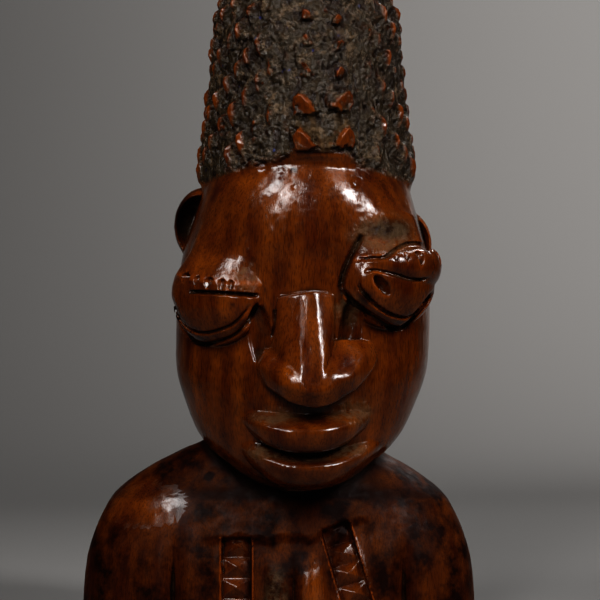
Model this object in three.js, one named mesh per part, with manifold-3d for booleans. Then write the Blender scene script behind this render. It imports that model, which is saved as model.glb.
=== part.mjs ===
// An ibeji, a carved wooden twin figure, as a bust: the tall studded coiffure, the head with its
// bulging eyes, and the shoulders, cut off flat below. It is carved from one block, so it is one solid.
// Millimetres, +Z up. The figure faces -Y, and the origin is the middle of the flat underside.
import * as THREE from "three";
import { ConvexGeometry } from "three/addons/geometries/ConvexGeometry.js";
import { mergeVertices } from "three/addons/utils/BufferGeometryUtils.js";
import Module from "manifold-3d";

// Driving dimensions
const TORSO_HEIGHT = 38.2; // underside to the chin
const FACE_HEIGHT = 77; // chin to the hairline, at the front
const HAIR_HEIGHT = 56; // hairline to the tip of the coiffure
const SHOULDER_WIDTH = 94;
const TORSO_DEPTH = 46;
const NECK_WIDTH = 37;
const HEAD_WIDTH = 62;
const HEAD_DEPTH = 65;
const HAIR_WIDTH = 49.4;
const HAIR_DEPTH = 60;
const HEAD_SHIFT = 5.8; // the head stands this far to one side of the shoulders' middle
const NECK_SHIFT = 3.6; // and the neck this far
const HEAD_LEAN = 2.2; // sideways, from the chin to the hairline

// Carved detail
const EYE_TURN = 40; // degrees that each eye looks outwards
const EYE_WIDTH = 26; // along the face
const EYE_BULGE = 8.5;
const LEFT_EYE_HEIGHT = 23.6;
const RIGHT_EYE_HEIGHT = 22;
const LID_EDGE = 0.36; // share of half an eye's height at which its brow is cut back
const RIM_WIDTH = 1.9; // of the lower lid round each eyeball
const RIM_GROOVE = 0.9; // width and depth of the groove inside that lid
const LID_ROLL = 4; // radius of the heavy lid over one eye, at its outer end
const SLIT_WIDTH = 18; // of the nearly closed other eye
const SLIT_OPEN = 0.9;
const ORBIT_WIDTH = 5.2; // of the hollow between an eye and the nose
const NOSE_LENGTH = 27;
const NOSE_WIDTH = 28; // over the nostrils
const NOSE_STAND = 9; // how far the tip stands out of the face
const MOUTH_WIDTH = 30;
const UPPER_LIP = 5.8; // heights of the two lips
const LOWER_LIP = 6.2;
const UPPER_LIP_RISE = 4.6; // how much higher the ends of a lip lie than its middle
const LOWER_LIP_RISE = 6.6;
const LIP_STAND = 6.5; // how far the lips stand out of the face
const EAR_HEIGHT = 18.6;
const EAR_WIDTH = 15;
const EAR_DEPTH = 15;
const EAR_WALL = 1.8;
const STUD_DEPTH = 1.8; // valley to crest of the studs cut into the coiffure
const STUD_HEIGHT = 10; // of one stud, point to point
const STUDS_AROUND = 24;
const STUD_RISE = 9; // the rows of studs climb this much from the front to the back
const HAIR_LEDGE = 0.9; // overhang of the coiffure's edge
const HAIRLINE_DROP = 6; // how much lower the hairline lies at the temples
const NECK_FILLET = 5;
const ARM_GROOVE = 4.2; // depth of the groove between arm and chest
const ARM_GROOVE_WIDTH = 7.2;
const NECKLINE_STEP = 1.2; // the chest lies this much below the skin above it
const BAND_WIDTH = 7.4; // of the two bands of chips on the chest
const CHIP_PITCH = 4.4;
const CHIP_DEPTH = 1.6;
const BREAST_WIDTH = 7; // of each of the two low ridges down the middle of the chest
const BREAST_STAND = 1.8;

// Fineness of the faceted solid
const HEAD_COLUMNS = 44;
const HEAD_RINGS = 20;
const TORSO_COLUMNS = 56;
const TORSO_RINGS = 17;
const EYE_COLUMNS = 24;
const MOUTH_STATIONS = 12;

const CHIN = TORSO_HEIGHT;
const HAIRLINE = CHIN + FACE_HEIGHT;
const TIP = HAIRLINE + HAIR_HEIGHT;
const NECKLINE = 0.7 * TORSO_HEIGHT;

// Profiles, from the bottom up: share of the height, then shares of half the width, of half the depth
// towards the front, and of half the depth towards the back.
const HEAD_PROFILE = [
  [0.0, 0.14, 0.72, -0.5],
  [0.025, 0.34, 0.8, -0.36],
  [0.065, 0.51, 0.86, -0.08],
  [0.112, 0.67, 0.9, 0.2],
  [0.17, 0.79, 0.93, 0.44],
  [0.247, 0.88, 0.955, 0.7],
  [0.34, 0.96, 0.965, 0.88],
  [0.46, 0.98, 0.95, 1.0],
  [0.6, 0.97, 0.93, 1.05],
  [0.7, 0.945, 0.935, 1.05],
  [0.78, 0.89, 0.95, 1.03],
  [0.9, 0.8, 0.915, 0.95],
  [1.0, 0.745, 0.8, 0.86],
  [1.12, 0.64, 0.66, 0.74],
];
const HAIR_PROFILE = [
  [-0.16, 1.01, 0.94, 1.06],
  [0.0, 0.985, 0.91, 1.03],
  [0.2, 0.92, 0.88, 0.96],
  [0.4, 0.87, 0.84, 0.86],
  [0.58, 0.84, 0.78, 0.78],
  [0.72, 0.73, 0.68, 0.67],
  [0.84, 0.58, 0.54, 0.52],
  [0.93, 0.4, 0.37, 0.36],
  [0.99, 0.12, 0.11, 0.1],
];
// The torso's share of its height runs on past 1, at the chin, up to the root of the neck.
const TORSO_PROFILE = [
  [0.0, 1.0, 0.97, 0.93],
  [0.28, 1.0, 0.98, 0.95],
  [0.52, 0.98, 0.96, 0.95],
  [0.67, 0.945, 0.9, 0.92],
  [0.8, 0.9, 0.82, 0.88],
  [0.92, 0.84, 0.73, 0.82],
  [1.04, 0.72, 0.6, 0.72],
  [1.16, 0.55, 0.47, 0.58],
  [1.26, 0.36, 0.36, 0.44],
  [1.36, 0.12, 0.2, 0.24],
];

const { clamp, smoothstep: smooth, lerp: mix, degToRad } = THREE.MathUtils;

// Joins two fields with a rounding of size k between them.
const join = (a, b, k) =>
  Math.min(a, b) - Math.max(k - Math.abs(a - b), 0) ** 2 / (4 * k);

// The value of one column of a profile at a height, on a smooth curve through its stations.
function along(profile, column, height) {
  const last = profile.length - 1;
  const h = clamp(height, profile[0][0], profile[last][0]);
  let i = 0;
  while (i < last - 1 && h > profile[i + 1][0]) i++;
  const slope = (j) => {
    const a = profile[Math.max(j - 1, 0)];
    const b = profile[Math.min(j + 1, last)];
    return (b[column] - a[column]) / (b[0] - a[0]);
  };
  const [a, b] = [profile[i], profile[i + 1]];
  const span = b[0] - a[0];
  const t = (h - a[0]) / span;
  return (
    a[column] * (1 + 2 * t) * (1 - t) ** 2 +
    b[column] * t * t * (3 - 2 * t) +
    span * (slope(i) * t * (1 - t) ** 2 - slope(i + 1) * t * t * (1 - t))
  );
}

// A body of rounded sections stacked up a profile: its half width, front and back at a height, and
// its skin's distance from the middle of a section, at an angle from the front.
function stacked(profile, base, height, width, depth, power) {
  const section = (z) => {
    const h = (z - base) / height;
    const half = (along(profile, 1, h) * width) / 2;
    const front = (-along(profile, 2, h) * depth) / 2;
    const back = (along(profile, 3, h) * depth) / 2;
    return { half, front, back, middle: (front + back) / 2 };
  };
  const radius = (angle, z) => {
    const { half, front, middle } = section(z);
    const p = power((z - base) / height);
    const across = Math.abs(Math.sin(angle) / half) ** p;
    const deep = Math.abs(Math.cos(angle) / (middle - front)) ** p;
    return (across + deep) ** (-1 / p);
  };
  return { section, radius };
}

// The head is rounder at the cheeks and squarer over the brow.
const headPower = (h) => 2.1 + 0.5 * smooth(h, 0.5, 0.76) * (1 - smooth(h, 0.82, 1));
const head = stacked(HEAD_PROFILE, CHIN, FACE_HEIGHT, HEAD_WIDTH, HEAD_DEPTH, headPower);
const hair = stacked(HAIR_PROFILE, HAIRLINE, HAIR_HEIGHT, HAIR_WIDTH, HAIR_DEPTH, () => 2);
const torso = stacked(TORSO_PROFILE, 0, TORSO_HEIGHT, SHOULDER_WIDTH, TORSO_DEPTH, () => 2.3);

// Places on the face, as shares of its height above the chin and of half its width, and the depth of
// the face's own surface there.
const faceZ = (share) => CHIN + share * FACE_HEIGHT;
const faceX = (share) => (share * HEAD_WIDTH) / 2;
const leanAt = (z) => HEAD_LEAN * (clamp((z - CHIN) / FACE_HEIGHT, 0, 0.9) - 0.5);
const faceFront = (x, z) => {
  const { half, front, middle } = head.section(z);
  const across = Math.min(Math.abs((x - leanAt(z)) / half), 1);
  const power = headPower((z - CHIN) / FACE_HEIGHT);
  return middle + (front - middle) * (1 - across ** power) ** (1 / power);
};
const hairlineAt = (angle) =>
  HAIRLINE - HAIRLINE_DROP * smooth(Math.abs(Math.sin(angle / 2)), 0, 0.7);

// A closed skin over rings of points, with one point below and one above. Quads split along the
// diagonal that starts at their lower left corner, or along the other one where turned() says so.
function skin(rings, bottom, top, turned = () => false) {
  const columns = rings[0].length;
  const at = (ring, column) => 1 + ring * columns + (column % columns);
  const tip = 1 + rings.length * columns;
  const index = [];
  for (let i = 0; i < columns; i++) {
    index.push(0, at(0, i + 1), at(0, i));
    index.push(tip, at(rings.length - 1, i), at(rings.length - 1, i + 1));
  }
  for (let r = 0; r < rings.length - 1; r++)
    for (let i = 0; i < columns; i++) {
      const [a, b, c, d] = [at(r, i), at(r, i + 1), at(r + 1, i + 1), at(r + 1, i)];
      if (turned(r, i)) index.push(a, b, d, b, c, d);
      else index.push(a, b, c, a, c, d);
    }
  const geometry = new THREE.BufferGeometry();
  const positions = [bottom, ...rings.flat(), top].flat();
  geometry.setAttribute("position", new THREE.Float32BufferAttribute(positions, 3));
  geometry.setIndex(index);
  return geometry;
}

// One ring of a skin, all round: each point at an angle from the front, with its own height and its
// own distance from the middle of the section at that height.
const ringOf = (columns, middleAt, radiusAt, heightAt) =>
  Array.from({ length: columns }, (_, i) => {
    const angle = (i / columns) * 2 * Math.PI;
    const z = heightAt(angle);
    const [x, y] = middleAt(z);
    const r = radiusAt(angle, z, i);
    return [x + r * Math.sin(angle), y - r * Math.cos(angle), z];
  });

const ellipsoid = (rx, ry, rz, columns, rows) =>
  new THREE.SphereGeometry(1, columns, rows).rotateX(Math.PI / 2).scale(rx, ry, rz);

function turnedOver(geometry) {
  geometry.index.array.reverse();
  return geometry;
}

const wasm = await Module();
wasm.setup();

function solid(geometry) {
  const bare = geometry.clone();
  bare.deleteAttribute("normal");
  bare.deleteAttribute("uv");
  const merged = mergeVertices(bare, 1e-4);
  return new wasm.Manifold(
    new wasm.Mesh({
      numProp: 3,
      vertProperties: new Float32Array(merged.attributes.position.array),
      triVerts: new Uint32Array(merged.index.array),
    }),
  );
}

function geometryOf(manifold) {
  const mesh = manifold.getMesh();
  const geometry = new THREE.BufferGeometry();
  geometry.setAttribute("position", new THREE.BufferAttribute(mesh.vertProperties, 3));
  geometry.setIndex(new THREE.BufferAttribute(mesh.triVerts, 1));
  geometry.computeVertexNormals();
  return geometry;
}

// The bare head: an egg standing on its chin, up to the hairline and on inside the coiffure.
function skull() {
  const top = faceZ(1.06);
  const middleAt = (z) => [leanAt(z), head.section(z).middle];
  const rings = [];
  for (let j = 0; j <= HEAD_RINGS; j++) {
    const z = mix(CHIN, top, (j / HEAD_RINGS) ** 1.25);
    rings.push(ringOf(HEAD_COLUMNS, middleAt, head.radius, () => z));
  }
  const below = [...middleAt(CHIN), faceZ(-0.004)];
  return solid(skin(rings, below, [...middleAt(top), top]));
}

// The coiffure: a tall dome cut all over into pointed studs, in rows that climb from the front to the
// back, with an edge that overhangs the brow.
function coiffure() {
  const rows = Math.round(((HAIR_HEIGHT + HAIRLINE_DROP) / STUD_HEIGHT) * 2);
  const middleAt = (z) => [leanAt(z), hair.section(z).middle];
  const rings = [];
  for (let j = 0; j <= rows; j++) {
    const share = j / (rows + 0.6);
    const radiusAt = (angle, z, i) => {
      const crest = (i + j) % 2 ? STUD_DEPTH * (1 - 0.6 * share) : 0;
      const valley = HAIR_LEDGE - STUD_DEPTH * 0.55;
      return hair.radius(angle, z) + (j ? valley + crest : HAIR_LEDGE);
    };
    const heightAt = (angle) =>
      mix(hairlineAt(angle), TIP, share) +
      STUD_RISE * Math.abs(Math.sin(angle / 2)) * share * (1 - share) * 4;
    rings.push(ringOf(STUDS_AROUND * 2, middleAt, radiusAt, heightAt));
  }
  const valleyToValley = (r, i) => (r + i) % 2 === 1;
  const inside = [0, 0, HAIRLINE];
  return solid(skin(rings, inside, [...middleAt(TIP), TIP], valleyToValley));
}

// An eyeball with its lids: a great dome, cut back above the lid's edge in a sloping facet that runs
// out at the brow, with a groove round its lower half that leaves the lower lid as a rim. One eye is a
// slit, the other lies open under a heavy lid.
function eye(side) {
  const height = side < 0 ? LEFT_EYE_HEIGHT : RIGHT_EYE_HEIGHT;
  const browTop = side < 0 ? 1.2 : 1.45;
  const [rx, ry, rz] = [EYE_WIDTH / 2, EYE_BULGE, height / 2];
  const domeOf = (less) => {
    const levels = [];
    for (let i = 1; i <= 10; i++) {
      const turn = mix(-Math.PI / 2, Math.asin(LID_EDGE), i / 10);
      levels.push([Math.cos(turn), Math.cos(turn), Math.sin(turn)]);
    }
    levels.push([0.84, 0.5, mix(LID_EDGE, browTop, 0.5)], [0.5, 0.1, browTop]);
    const rings = levels.map(([across, out, up]) =>
      Array.from({ length: EYE_COLUMNS }, (_, i) => {
        const turn = (i / EYE_COLUMNS) * 2 * Math.PI;
        const x = (rx - less) * across * Math.sin(turn);
        return [x, -(ry - less) * out * Math.cos(turn), (rz - less) * up];
      }),
    );
    return solid(skin(rings, [0, 0, less - rz], [0, 0, (rz - less) * (browTop + 0.01)]));
  };
  const dome = domeOf(0);
  const core = domeOf(RIM_GROOVE);
  const tube = (less) => {
    const disc = new THREE.CylinderGeometry(1, 1, 4 * ry, EYE_COLUMNS);
    return solid(disc.scale(rx - less, 1, rz - less));
  };
  const upper = new THREE.BoxGeometry(4 * rx, 8 * ry, 2 * rz).translate(0, 0, rz);
  const groove = tube(RIM_WIDTH)
    .subtract(tube(RIM_WIDTH + RIM_GROOVE))
    .subtract(solid(upper))
    .subtract(core);
  let eyeball = dome.subtract(groove);
  if (side < 0) {
    const slit = ellipsoid(SLIT_WIDTH / 2, 4 * ry, SLIT_OPEN / 2, 16, 8);
    eyeball = eyeball.subtract(solid(slit.translate(0.1 * EYE_WIDTH, 0, 0)).subtract(core));
  } else {
    const corner = ellipsoid(0.12 * EYE_WIDTH, 0.3 * EYE_BULGE, 0.08 * height, 12, 8);
    const middle = [-0.28 * EYE_WIDTH, -0.8 * EYE_BULGE, -0.1 * height];
    corner.rotateY(degToRad(30)).translate(...middle);
    eyeball = eyeball.subtract(solid(corner)).add(heavyLid(rx, ry, rz));
  }
  const x = faceX(side < 0 ? -0.665 : 0.665);
  const z = faceZ(side < 0 ? 0.588 : 0.632);
  const inset = 0.18 * EYE_BULGE;
  const turn = side * degToRad(EYE_TURN);
  const y = faceFront(x, z) + inset * Math.cos(turn);
  return eyeball
    .rotate([0, side < 0 ? 5 : 7, side * EYE_TURN])
    .translate([x - inset * Math.sin(turn), y, z]);
}

// The heavy lid that stands out over one eye like a roll, thickening outwards.
function heavyLid(rx, ry, rz) {
  const stations = 12;
  const rings = [];
  for (let i = 0; i <= stations; i++) {
    const share = i / stations;
    const level = mix(LID_EDGE, LID_EDGE - 0.05, share);
    const turn = mix(degToRad(-66), degToRad(74), share);
    const thick = LID_ROLL * mix(0.3, 1, smooth(share, 0, 0.8)) * (1 - smooth(share, 0.9, 1.1));
    const out = [Math.sin(turn), -Math.cos(turn)];
    const across = 0.93 * Math.sqrt(1 - level ** 2);
    const middle = [rx * across * out[0], ry * across * out[1]];
    rings.push(
      Array.from({ length: 8 }, (_, k) => {
        const round = (k / 8) * 2 * Math.PI;
        const r = Math.cos(round) * thick * 0.65;
        return [
          middle[0] + out[0] * r,
          middle[1] + out[1] * r,
          rz * level + Math.sin(round) * thick,
        ];
      }),
    );
  }
  const middleOf = (ring) => [0, 1, 2].map((k) => (ring[0][k] + ring[4][k]) / 2);
  return solid(turnedOver(skin(rings, middleOf(rings[0]), middleOf(rings.at(-1)))));
}

// The hollow between an eye and the nose.
function orbit(side) {
  const x = faceX(side < 0 ? -0.31 : 0.36);
  const z = faceZ(side < 0 ? 0.47 : 0.5);
  const cut = ellipsoid(ORBIT_WIDTH / 2, ORBIT_WIDTH / 2, 0.1 * FACE_HEIGHT, 12, 8);
  return solid(cut.rotateY(degToRad(side * 12)).translate(x, faceFront(x, z), z));
}

// The nose: a bridge with a sharp right edge, and wide nostrils with a flat cut above each, joined by
// a broad rounded band below. Points are shares of half the nose's width, of its length above the
// underside, and of how far the tip stands out.
const NOSE_BRIDGE = [
  [-0.45, 0.93, -0.3],
  [-0.5, 0.94, 0.06],
  [-0.3, 0.96, 0.22],
  [0.0, 0.97, 0.28],
  [0.13, 1.0, 0.26],
  [0.47, 0.95, 0.0],
  [0.47, 0.95, -0.3],
  [-0.62, 0.5, 0.05],
  [-0.52, 0.28, 0.45],
  [-0.3, 0.28, 0.8],
  [-0.05, 0.28, 0.94],
  [0.32, 0.3, 0.86],
  [0.44, 0.3, 0.3],
  [-0.5, 0.2, -0.3],
  [0.44, 0.2, -0.3],
  [0.0, 0.2, 0.97],
  [0.25, 0.2, 0.96],
];
const NOSTRILS = [
  [-0.72, 0.5, -0.1],
  [-0.4, 0.54, 0.15],
  [-0.31, 0.3, 0.86],
  [-0.76, 0.36, 0.42],
  [-0.86, 0.33, 0.12],
  [-0.86, 0.33, -0.3],
  [-0.68, 0.18, 0.42],
  [-0.3, 0.05, 0.72],
  [0.13, 0.0, 0.8],
  [0.46, 0.04, 0.76],
  [0.86, 0.17, 0.52],
  [1.12, 0.32, 0.26],
  [1.18, 0.42, 0.1],
  [1.18, 0.42, -0.3],
  [-0.4, 0.2, 0.88],
  [0.0, 0.15, 1.0],
  [0.3, 0.15, 1.0],
  [0.74, 0.27, 0.84],
  [0.43, 0.28, 0.9],
  [0.97, 0.45, 0.45],
  [0.68, 0.58, 0.15],
  [1.1, 0.56, -0.1],
  [-0.68, 0.18, -0.3],
  [0.13, 0.0, -0.3],
  [0.86, 0.17, -0.3],
];

function nose() {
  const bottom = faceZ(0.615) - NOSE_LENGTH;
  const hull = (list) => {
    const points = list.map(([across, up, out]) => {
      const x = faceX(0.03) + (across * NOSE_WIDTH) / 2;
      const z = bottom + up * NOSE_LENGTH;
      return new THREE.Vector3(x, faceFront(x, z) - out * NOSE_STAND, z);
    });
    return solid(new ConvexGeometry(points));
  };
  return hull(NOSE_BRIDGE).add(hull(NOSTRILS));
}

// A lip: a crescent that stands out of the face, its upper side sloping in and its ends turned up.
function lip(middleHeight, height, rise) {
  const stand = LIP_STAND;
  const sections = [];
  for (let i = 0; i <= MOUTH_STATIONS; i++) {
    const share = Math.sin(mix(-0.48, 0.48, i / MOUTH_STATIONS) * Math.PI);
    const x = faceX(0.02) + (share * MOUTH_WIDTH) / 2;
    const z = middleHeight + rise * Math.abs(share) ** 2.4;
    const thick = (height / 2) * Math.sqrt(1 - 0.92 * share ** 2);
    const root = faceFront(x, z);
    const front = root - stand * (1.03 - Math.abs(share) ** 3);
    const inside = root + 0.45 * stand;
    sections.push([
      [x, inside, z + thick + height * 0.7],
      [x, front + 0.08 * stand, z + thick],
      [x, front, z + 0.55 * thick],
      [x, front + 0.06 * stand, z - 0.5 * thick],
      [x, front + 0.25 * stand, z - thick],
      [x, inside, z - thick * 0.8],
    ]);
  }
  const end = (ring) => [ring[0][0], (ring[0][1] + ring[2][1]) / 2, ring[2][2]];
  return solid(skin(sections, end(sections[0]), end(sections.at(-1))));
}

// An ear: a half-round flange that stands off the side of the head, open to the front.
function ear(side) {
  const z = faceZ(side < 0 ? 0.792 : 0.733);
  const size = side < 0 ? 1 : 0.92;
  const [rx, ry, rz] = [EAR_WIDTH, EAR_DEPTH, EAR_HEIGHT].map((whole) => (whole / 2) * size);
  const place = (geometry) =>
    solid(geometry.rotateZ(side * 0.35).translate(side * (faceX(1) - rx), 0.06 * HEAD_DEPTH, z));
  const shell = ellipsoid(rx, ry, rz, 18, 12);
  const hollow = ellipsoid(rx - EAR_WALL, ry, rz - EAR_WALL, 14, 8).translate(0, -0.65 * ry, 0);
  return place(shell).subtract(place(hollow));
}

// A place across the chest, as a share of half the shoulders' width.
const chestX = (share) => (share * SHOULDER_WIDTH) / 2;

// Chest, shoulders and neck as one field: below 0 inside the wood.
function torsoField(x, y, z) {
  const share = z / TORSO_HEIGHT;
  const { middle } = torso.section(z);
  const angle = Math.atan2(x, middle - y);
  let field = Math.hypot(x, y - middle) - torso.radius(angle, z);
  for (const place of [-0.53, 0.63]) {
    const across = Math.abs(x - chestX(place)) / (ARM_GROOVE_WIDTH / 2);
    const low = 1 - smooth(share, 0.3, 0.75);
    field += ARM_GROOVE * Math.max(1 - across, 0) ** 1.5 * low;
  }
  if (y < 0) {
    const below = 1 - smooth(z, NECKLINE - NECKLINE_STEP, NECKLINE + NECKLINE_STEP);
    const panel = 1 - smooth(Math.abs(x - chestX(0.04)), chestX(0.36), chestX(0.45));
    field += NECKLINE_STEP * below * panel;
    for (const side of [-1, 1]) {
      const across = (x - NECK_SHIFT) / (BREAST_WIDTH / 2) - side;
      field -= BREAST_STAND * Math.max(1 - across ** 2, 0) * (1 - smooth(share, 0.4, 0.62));
    }
  }
  const neck = Math.hypot(x - NECK_SHIFT, y - 0.065 * TORSO_DEPTH) - NECK_WIDTH / 2;
  return join(field, neck, NECK_FILLET);
}

// Walks in along a level ray until it meets the field, and returns the distance from the middle.
function reach(field, cx, cy, angle, z, farthest) {
  const [dx, dy] = [Math.sin(angle), -Math.cos(angle)];
  const at = (r) => field(cx + dx * r, cy + dy * r, z);
  let outer = farthest;
  while (outer > 1 && at(outer - 1) > 0) outer -= 1;
  let inner = Math.max(outer - 1, 0);
  for (let i = 0; i < 14; i++) {
    const half = (inner + outer) / 2;
    if (at(half) > 0) outer = half;
    else inner = half;
  }
  return outer;
}

function shoulders() {
  const top = TORSO_HEIGHT * 1.4;
  const shiftAt = (z) => NECK_SHIFT * smooth(z / TORSO_HEIGHT, 0.85, 1.15);
  const rings = [];
  for (let j = 0; j <= TORSO_RINGS; j++) {
    const z = top * (j / TORSO_RINGS) ** 0.85;
    const radiusAt = (angle) =>
      reach(torsoField, shiftAt(z), 0, angle, z, SHOULDER_WIDTH * 0.6);
    rings.push(ringOf(TORSO_COLUMNS, () => [shiftAt(z), 0], radiusAt, () => z));
  }
  return solid(skin(rings, [0, 0, 0], [NECK_SHIFT, 0, top]));
}

// The cuts of a band of chips down the chest: a saw-toothed strip that follows the skin.
function chips(topX, bottomX) {
  const count = Math.ceil(NECKLINE / CHIP_PITCH);
  const lean = Math.atan2(bottomX - topX, NECKLINE);
  const middleX = (topX + bottomX) / 2;
  const outline = new THREE.Shape();
  const below = NECKLINE - NECKLINE_STEP;
  const surface = (z) => -reach(torsoField, middleX, 0, 0, clamp(z, 0, below), TORSO_DEPTH);
  const clear = 5 * CHIP_DEPTH;
  outline.moveTo(surface(NECKLINE) - clear, NECKLINE);
  for (let i = 0; i < count; i++) {
    const high = NECKLINE - i * CHIP_PITCH;
    outline.lineTo(surface(high), high - 0.07 * CHIP_PITCH);
    outline.lineTo(surface(high) + CHIP_DEPTH, high - 0.27 * CHIP_PITCH);
    outline.lineTo(surface(high - CHIP_PITCH) + 0.12 * CHIP_DEPTH, high - 0.95 * CHIP_PITCH);
  }
  outline.lineTo(surface(0) - clear, NECKLINE - count * CHIP_PITCH);
  const strip = new THREE.ExtrudeGeometry(outline, { depth: BAND_WIDTH, bevelEnabled: false });
  strip.translate(0, 0, -BAND_WIDTH / 2);
  const axes = new THREE.Matrix4().makeBasis(
    new THREE.Vector3(0, 1, 0),
    new THREE.Vector3(0, 0, 1),
    new THREE.Vector3(1, 0, 0),
  );
  strip.applyMatrix4(axes).translate(0, 0, -NECKLINE / 2).rotateY(-lean);
  return solid(strip.translate(middleX, 0, NECKLINE / 2));
}

let carving = skull();
for (const side of [-1, 1]) carving = carving.add(eye(side)).subtract(orbit(side)).add(ear(side));
carving = carving
  .add(nose())
  .add(lip(faceZ(0.145), UPPER_LIP, UPPER_LIP_RISE))
  .add(lip(faceZ(0.04), LOWER_LIP, LOWER_LIP_RISE))
  .add(coiffure())
  .translate([HEAD_SHIFT, 0, 0])
  .add(shoulders())
  .subtract(chips(chestX(-0.21), chestX(-0.21)))
  .subtract(chips(chestX(0.28), chestX(0.45)));

const wood = new THREE.MeshStandardMaterial({ color: 0x5a2610, roughness: 0.35, metalness: 0 });
const figure = new THREE.Mesh(geometryOf(carving), wood);
figure.name = "figure";

const bust = new THREE.Group();
bust.add(figure);

export default bust;
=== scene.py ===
# The looks of an ibeji, a carved wooden twin figure, as a bust. The figure is one block of wood, so it is
# one piece: its skin is worked out as a field of distances in millimetres, meshed, and finished with a
# worn, handled, crusted wood. It stands on a pale floor in soft light.
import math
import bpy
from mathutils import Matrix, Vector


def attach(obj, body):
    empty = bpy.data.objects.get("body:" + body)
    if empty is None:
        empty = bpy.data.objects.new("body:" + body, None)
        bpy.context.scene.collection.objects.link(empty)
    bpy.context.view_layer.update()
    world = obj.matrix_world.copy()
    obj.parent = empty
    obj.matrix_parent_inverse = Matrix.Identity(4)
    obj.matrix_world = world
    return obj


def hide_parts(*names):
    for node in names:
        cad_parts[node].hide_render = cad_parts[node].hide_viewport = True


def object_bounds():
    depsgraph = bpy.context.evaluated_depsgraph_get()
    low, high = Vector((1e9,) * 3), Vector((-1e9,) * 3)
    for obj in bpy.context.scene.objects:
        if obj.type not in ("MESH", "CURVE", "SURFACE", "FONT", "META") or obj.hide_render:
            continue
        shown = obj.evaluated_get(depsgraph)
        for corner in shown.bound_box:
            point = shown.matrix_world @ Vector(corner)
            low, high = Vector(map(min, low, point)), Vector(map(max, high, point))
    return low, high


bl_info = {
    "name": "Ibeji Bust",
    "version": (1, 0, 0),
    "blender": (4, 5, 0),
    "location": "View3D > Sidebar > Ibeji",
    "description": "Carves and finishes a wooden twin figure as a bust, with a stage for it",
    "category": "Object",
}

from functools import partial

import bmesh
import bpy
import numpy as np
import openvdb
from bpy.props import FloatProperty, FloatVectorProperty, IntProperty, PointerProperty
from mathutils import Matrix, Vector

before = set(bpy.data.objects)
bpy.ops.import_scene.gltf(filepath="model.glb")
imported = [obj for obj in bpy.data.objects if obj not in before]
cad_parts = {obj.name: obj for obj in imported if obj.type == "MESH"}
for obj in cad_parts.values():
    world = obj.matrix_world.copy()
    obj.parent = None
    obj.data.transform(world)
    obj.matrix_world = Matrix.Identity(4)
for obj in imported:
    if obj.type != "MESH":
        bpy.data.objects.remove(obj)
CAD_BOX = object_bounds()
MM = 0.001

# Sizes of the carving, in millimetres. +Z is up, the figure faces -Y, and the origin is the middle of
# the underside.
TORSO_HEIGHT = 38.2
FACE_HEIGHT = 77.0
HAIR_HEIGHT = 56.0
SHOULDER_WIDTH = 94.0
TORSO_DEPTH = 46.0
NECK_WIDTH = 37.0
HEAD_WIDTH = 62.0
HEAD_DEPTH = 65.0
HAIR_WIDTH = 49.4
HAIR_DEPTH = 60.0
HEAD_SHIFT = 5.8
NECK_SHIFT = 3.6
HEAD_LEAN = 2.2

EYE_TURN = 40.0
EYE_WIDTH = 26.0
EYE_BULGE = 8.5
LEFT_EYE_HEIGHT = 23.6
RIGHT_EYE_HEIGHT = 22.0
LID_EDGE = 0.36
LID_ROLL = 4.5
NOSE_LENGTH = 27.0
NOSE_WIDTH = 28.0
NOSE_STAND = 9.0
MOUTH_WIDTH = 30.0
UPPER_LIP = 5.8
LOWER_LIP = 6.2
UPPER_LIP_RISE = 4.6
LOWER_LIP_RISE = 6.6
LIP_STAND = 6.5
EAR_HEIGHT = 18.6
EAR_WIDTH = 15.0
EAR_DEPTH = 15.0
EAR_WALL = 1.8
HAIR_LEDGE = 0.9
HAIRLINE_DROP = 6.0
NECK_FILLET = 5.0
ARM_GROOVE = 4.2
ARM_GROOVE_WIDTH = 7.2
NECKLINE_STEP = 1.2
BAND_WIDTH = 7.4
CHIP_PITCH = 4.9
CHIP_DEPTH = 1.8
BREAST_WIDTH = 7.0
BREAST_STAND = 1.8

# Roundings where one form of the carving meets another.
LID_FILLET = 0.3
NOSE_FILLET = 0.3
LIP_FILLET = 0.35
EAR_FILLET = 0.6
CHEEK_FILLET = 1.2
STUD_FILLET = 0.3
HAIR_FILLET = 1.4
CHIN_FILLET = 0.5

# The height up to which the torso's field is worked out, how far the head's and the coiffure's reach past
# their own places, and the value that stands for far away.
TORSO_TOP = 62.0
HEAD_OVERLAP = 8.0
CROWN_OVERLAP = 6.0
FAR = 50.0

CHIN = TORSO_HEIGHT
HAIRLINE = CHIN + FACE_HEIGHT
TIP = HAIRLINE + HAIR_HEIGHT
NECKLINE = 0.7 * TORSO_HEIGHT

# Profiles, from the bottom up: share of the height, then shares of half the width, of half the depth
# towards the front, and of half the depth towards the back.
HEAD_PROFILE = [
    (0.0, 0.14, 0.72, -0.5),
    (0.025, 0.34, 0.8, -0.36),
    (0.065, 0.51, 0.86, -0.08),
    (0.112, 0.67, 0.9, 0.2),
    (0.17, 0.79, 0.93, 0.44),
    (0.247, 0.88, 0.955, 0.7),
    (0.34, 0.96, 0.965, 0.88),
    (0.46, 0.98, 0.95, 1.0),
    (0.6, 0.97, 0.93, 1.05),
    (0.7, 0.945, 0.935, 1.05),
    (0.78, 0.89, 0.95, 1.03),
    (0.9, 0.8, 0.915, 0.95),
    (1.0, 0.745, 0.8, 0.86),
    (1.12, 0.64, 0.66, 0.74),
]
HAIR_PROFILE = [
    (-0.16, 1.01, 0.94, 1.06),
    (0.0, 0.985, 0.91, 1.03),
    (0.2, 0.92, 0.88, 0.96),
    (0.4, 0.87, 0.84, 0.86),
    (0.58, 0.84, 0.78, 0.78),
    (0.72, 0.73, 0.68, 0.67),
    (0.84, 0.58, 0.54, 0.52),
    (0.93, 0.4, 0.37, 0.36),
    (0.99, 0.12, 0.11, 0.1),
]
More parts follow.
